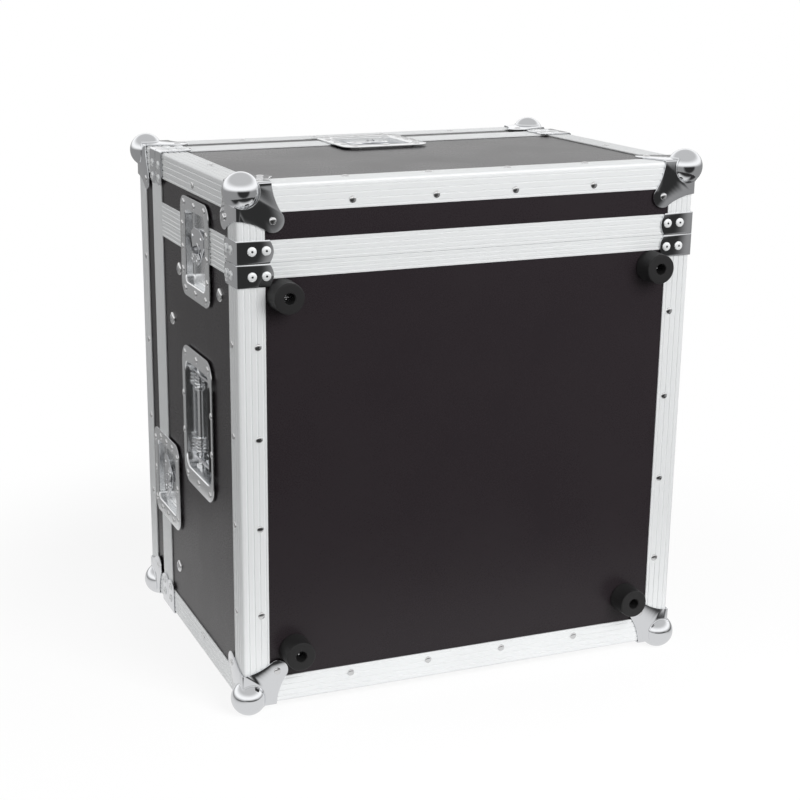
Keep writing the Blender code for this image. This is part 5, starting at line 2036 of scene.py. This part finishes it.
@dataclass
class Studio:
    """White floor, soft light and the camera of the photograph."""

    floor_radius: float = 0.95
    floor_sides: int = 96
    floor_white: float = 0.86
    fade_start: float = 0.45
    fade_margin: float = 0.1
    focal_pixels: float = 1602.9
    centre_pixels: Point2 = (314.97, 416.41)
    frame_pixels: int = 800
    sensor: float = 36
    eye: tuple[float, float, float] = (-0.74424, CASE.front - 1.51792, CASE.bottom + 0.79396)
    forward: tuple[float, float, float] = (0.33357, 0.90025, -0.27978)
    roll: float = radians(-0.156)
    horizon: float = 1.12
    zenith: float = 0.60
    around: float = 0.30
    ahead: float = 0.03
    ambient: float = 0.42
    high_ramp: Point2 = (-0.04, 0.24)
    ahead_ramp: Point2 = (-0.72, -0.88)
    zenith_ramp: Point2 = (0.32, 0.72)
    floor_near: float = 0.76
    floor_glow: float = 0.86
    white_reach: float = 0.12
    white_end: float = 0.40
    side_strip: float = 0.10
    front_strip: float = 0.1
    target: tuple[float, float, float] = (0, 0, 0.3)
    lamps: tuple[Lamp, ...] = (Lamp("front_lamp", (0.6, -2.4, 1.5), 1.6, 104),
                               Lamp("left_lamp", (-2.4, 0.4, 1.2), 1.4, 15),
                               Lamp("high_lamp", (-0.3, 0.2, 2.4), 1.4, 1.5))

    def camera(self) -> None:
        """Place the camera as the photograph's."""
        data = bpy.data.cameras.new("photo_camera")
        data.sensor_width = self.sensor
        data.lens = self.focal_pixels * self.sensor / self.frame_pixels
        half = self.frame_pixels / 2
        data.shift_x = (half - self.centre_pixels[0]) / self.frame_pixels
        data.shift_y = (self.centre_pixels[1] - half) / self.frame_pixels
        eye = bpy.data.objects.new("photo_camera", data)
        bpy.context.scene.collection.objects.link(eye)
        turn = Vector(self.forward).to_track_quat("-Z", "Y").to_matrix().to_4x4()
        eye.matrix_world = (Matrix.Translation(self.eye) @ turn
                            @ Matrix.Rotation(self.roll, 4, "Z"))
        bpy.context.scene.camera = eye

    def world(self) -> None:
        """White behind the case; metal sees a bright band, a dimmer ceiling and a dark front."""
        world = bpy.data.worlds.new("studio")
        bpy.context.scene.world = world
        world.use_nodes = True
        world.node_tree.nodes.clear()
        shop = NodeShop(world.node_tree)
        rays = shop.node("ShaderNodeLightPath")
        where = shop.node("ShaderNodeTexCoord")
        axes = shop.node("ShaderNodeSeparateXYZ")
        shop.link(where.outputs["Generated"], axes.inputs["Vector"])
        high = self.ramp(shop, axes.outputs["Z"], *self.high_ramp)
        ahead = self.ramp(shop, axes.outputs["Y"], *self.ahead_ramp)
        zenith = self.ramp(shop, axes.outputs["Z"], *self.zenith_ramp)
        low = self.blend(shop, ahead, self.around, self.ahead)
        sky = self.blend(shop, zenith, self.horizon, self.zenith)
        seen = self.blend(shop, high, low, sky)
        strength = self.blend(shop, rays.outputs["Is Glossy Ray"], self.ambient, seen)
        strength = self.blend(shop, rays.outputs["Is Camera Ray"], strength, 1.0)
        light = shop.node("ShaderNodeBackground")
        shop.link(strength, light.inputs["Strength"])
        out = shop.node("ShaderNodeOutputWorld")
        shop.link(light.outputs["Background"], out.inputs["Surface"])
        light.inputs["Color"].default_value = (1, 1, 1, 1)

    def ramp(self, shop: NodeShop, value: bpy.types.NodeSocket, start: float,
             end: float) -> bpy.types.NodeSocket:
        """Smooth share from 0 at start to 1 at end.

        Args:
            shop: the tree.
            value: the socket whose value is looked at.
            start: the value at which the share is 0.
            end: the value at which it is 1.

        Returns:
            The share's socket.
        """
        made = shop.node("ShaderNodeMapRange", interpolation_type="SMOOTHSTEP")
        made.inputs["From Min"].default_value = start
        made.inputs["From Max"].default_value = end
        shop.link(value, made.inputs["Value"])
        return made.outputs["Result"]

    def blend(self, shop: NodeShop, share: bpy.types.NodeSocket, first: object,
              second: object) -> bpy.types.NodeSocket:
        """A number between two others.

        Args:
            shop: the tree.
            share: the socket that goes from 0 to 1.
            first: a socket or a number, at 0.
            second: a socket or a number, at 1.

        Returns:
            The number's socket.
        """
        made = shop.node("ShaderNodeMix", data_type="FLOAT")
        shop.link(share, made.inputs["Factor"])
        for label, value in (("A", first), ("B", second)):
            if isinstance(value, bpy.types.NodeSocket):
                shop.link(value, made.inputs[label])
            else:
                made.inputs[label].default_value = value
        return made.outputs["Result"]

    def floor_finish(self) -> bpy.types.Material:
        """White that takes the case's shadow and fades into the white behind it.

        Returns:
            The floor's material.
        """
        made = bpy.data.materials.new("studio_floor_white")
        made.use_nodes = True
        made.node_tree.nodes.clear()
        shop = NodeShop(made.node_tree)
        rays = shop.node("ShaderNodeLightPath")
        where = shop.node("ShaderNodeTexCoord")
        reach = shop.node("ShaderNodeVectorMath", operation="LENGTH")
        shop.link(where.outputs["Object"], reach.inputs[0])
        fade = self.ramp(shop, reach.outputs["Value"], self.fade_start,
                         self.floor_radius - self.fade_margin)
        seen = self.blend(shop, fade, self.floor_glow, 1.0)
        camera = shop.maths("MULTIPLY", rays.outputs["Is Camera Ray"], seen)
        share = shop.maths("MAXIMUM", camera, rays.outputs["Is Glossy Ray"])
        matt = shop.node("ShaderNodeBsdfDiffuse")
        matt.inputs["Color"].default_value = (self.floor_white,) * 3 + (1,)
        white = shop.node("ShaderNodeEmission")
        glow = self.blend(shop, rays.outputs["Is Glossy Ray"], 1.0, self.mirrored(shop, where))
        shop.link(glow, white.inputs["Strength"])
        both = shop.node("ShaderNodeMixShader")
        shop.link(share, both.inputs["Fac"])
        shop.link(matt.outputs["BSDF"], both.inputs[1])
        shop.link(white.outputs["Emission"], both.inputs[2])
        out = shop.node("ShaderNodeOutputMaterial")
        shop.link(both.outputs["Shader"], out.inputs["Surface"])
        return made

    def floor(self) -> None:
        """Lay the white disc that the case stands on."""
        shape = bmesh.new()
        bmesh.ops.create_circle(shape, cap_ends=True, segments=self.floor_sides,
                                radius=self.floor_radius)
        mesh = bpy.data.meshes.new("studio_floor")
        shape.to_mesh(mesh)
        shape.free()
        mesh.materials.append(self.floor_finish())
        floor = bpy.data.objects.new("studio_floor", mesh)
        bpy.context.scene.collection.objects.link(floor)

    def mirrored(self, shop: NodeShop, where: bpy.types.Node) -> bpy.types.NodeSocket:
        """How bright the floor looks in metal: white beside the case, then as dim as the room.

        Args:
            shop: the tree of the floor's material.
            where: its texture coordinates.

        Returns:
            The brightness.
        """
        axes = shop.node("ShaderNodeSeparateXYZ")
        shop.link(where.outputs["Object"], axes.inputs["Vector"])
        wide = shop.maths("SUBTRACT", shop.maths("ABSOLUTE", axes.outputs["X"]),
                          CASE.side - self.side_strip)
        deep = shop.maths("SUBTRACT", shop.maths("ABSOLUTE", axes.outputs["Y"]), CASE.depth / 2)
        away = self.ramp(shop, shop.maths("MAXIMUM", wide, deep), self.white_reach,
                         self.white_end)
        before = self.ramp(shop, axes.outputs["Y"], 0.0, CASE.front - self.front_strip)
        far = self.blend(shop, before, self.around, self.ahead)
        return self.blend(shop, away, self.floor_near, far)

    def build(self) -> None:
        """Make the studio."""
        self.camera()
        self.world()
        self.floor()
        for lamp in self.lamps:
            lamp.hang(Vector(self.target))
        bpy.context.scene.view_settings.view_transform = "Standard"


def main() -> None:
    """Build the studio and dress the case, piece by piece."""
    logging.basicConfig(level=logging.INFO, format="%(name)s: %(message)s")
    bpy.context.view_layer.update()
    Studio().build()
    FramePieces().build()
    Edging().build()
    ClosingRims().build()
    SplitBrackets().build()
    BallCorners().build()
    Feet().build()
    RailBolts().build()
    SprungHandle().build()
    ButterflyLatch().build()
    log.info("the case is dressed")


if __name__ == "__main__":
    main()
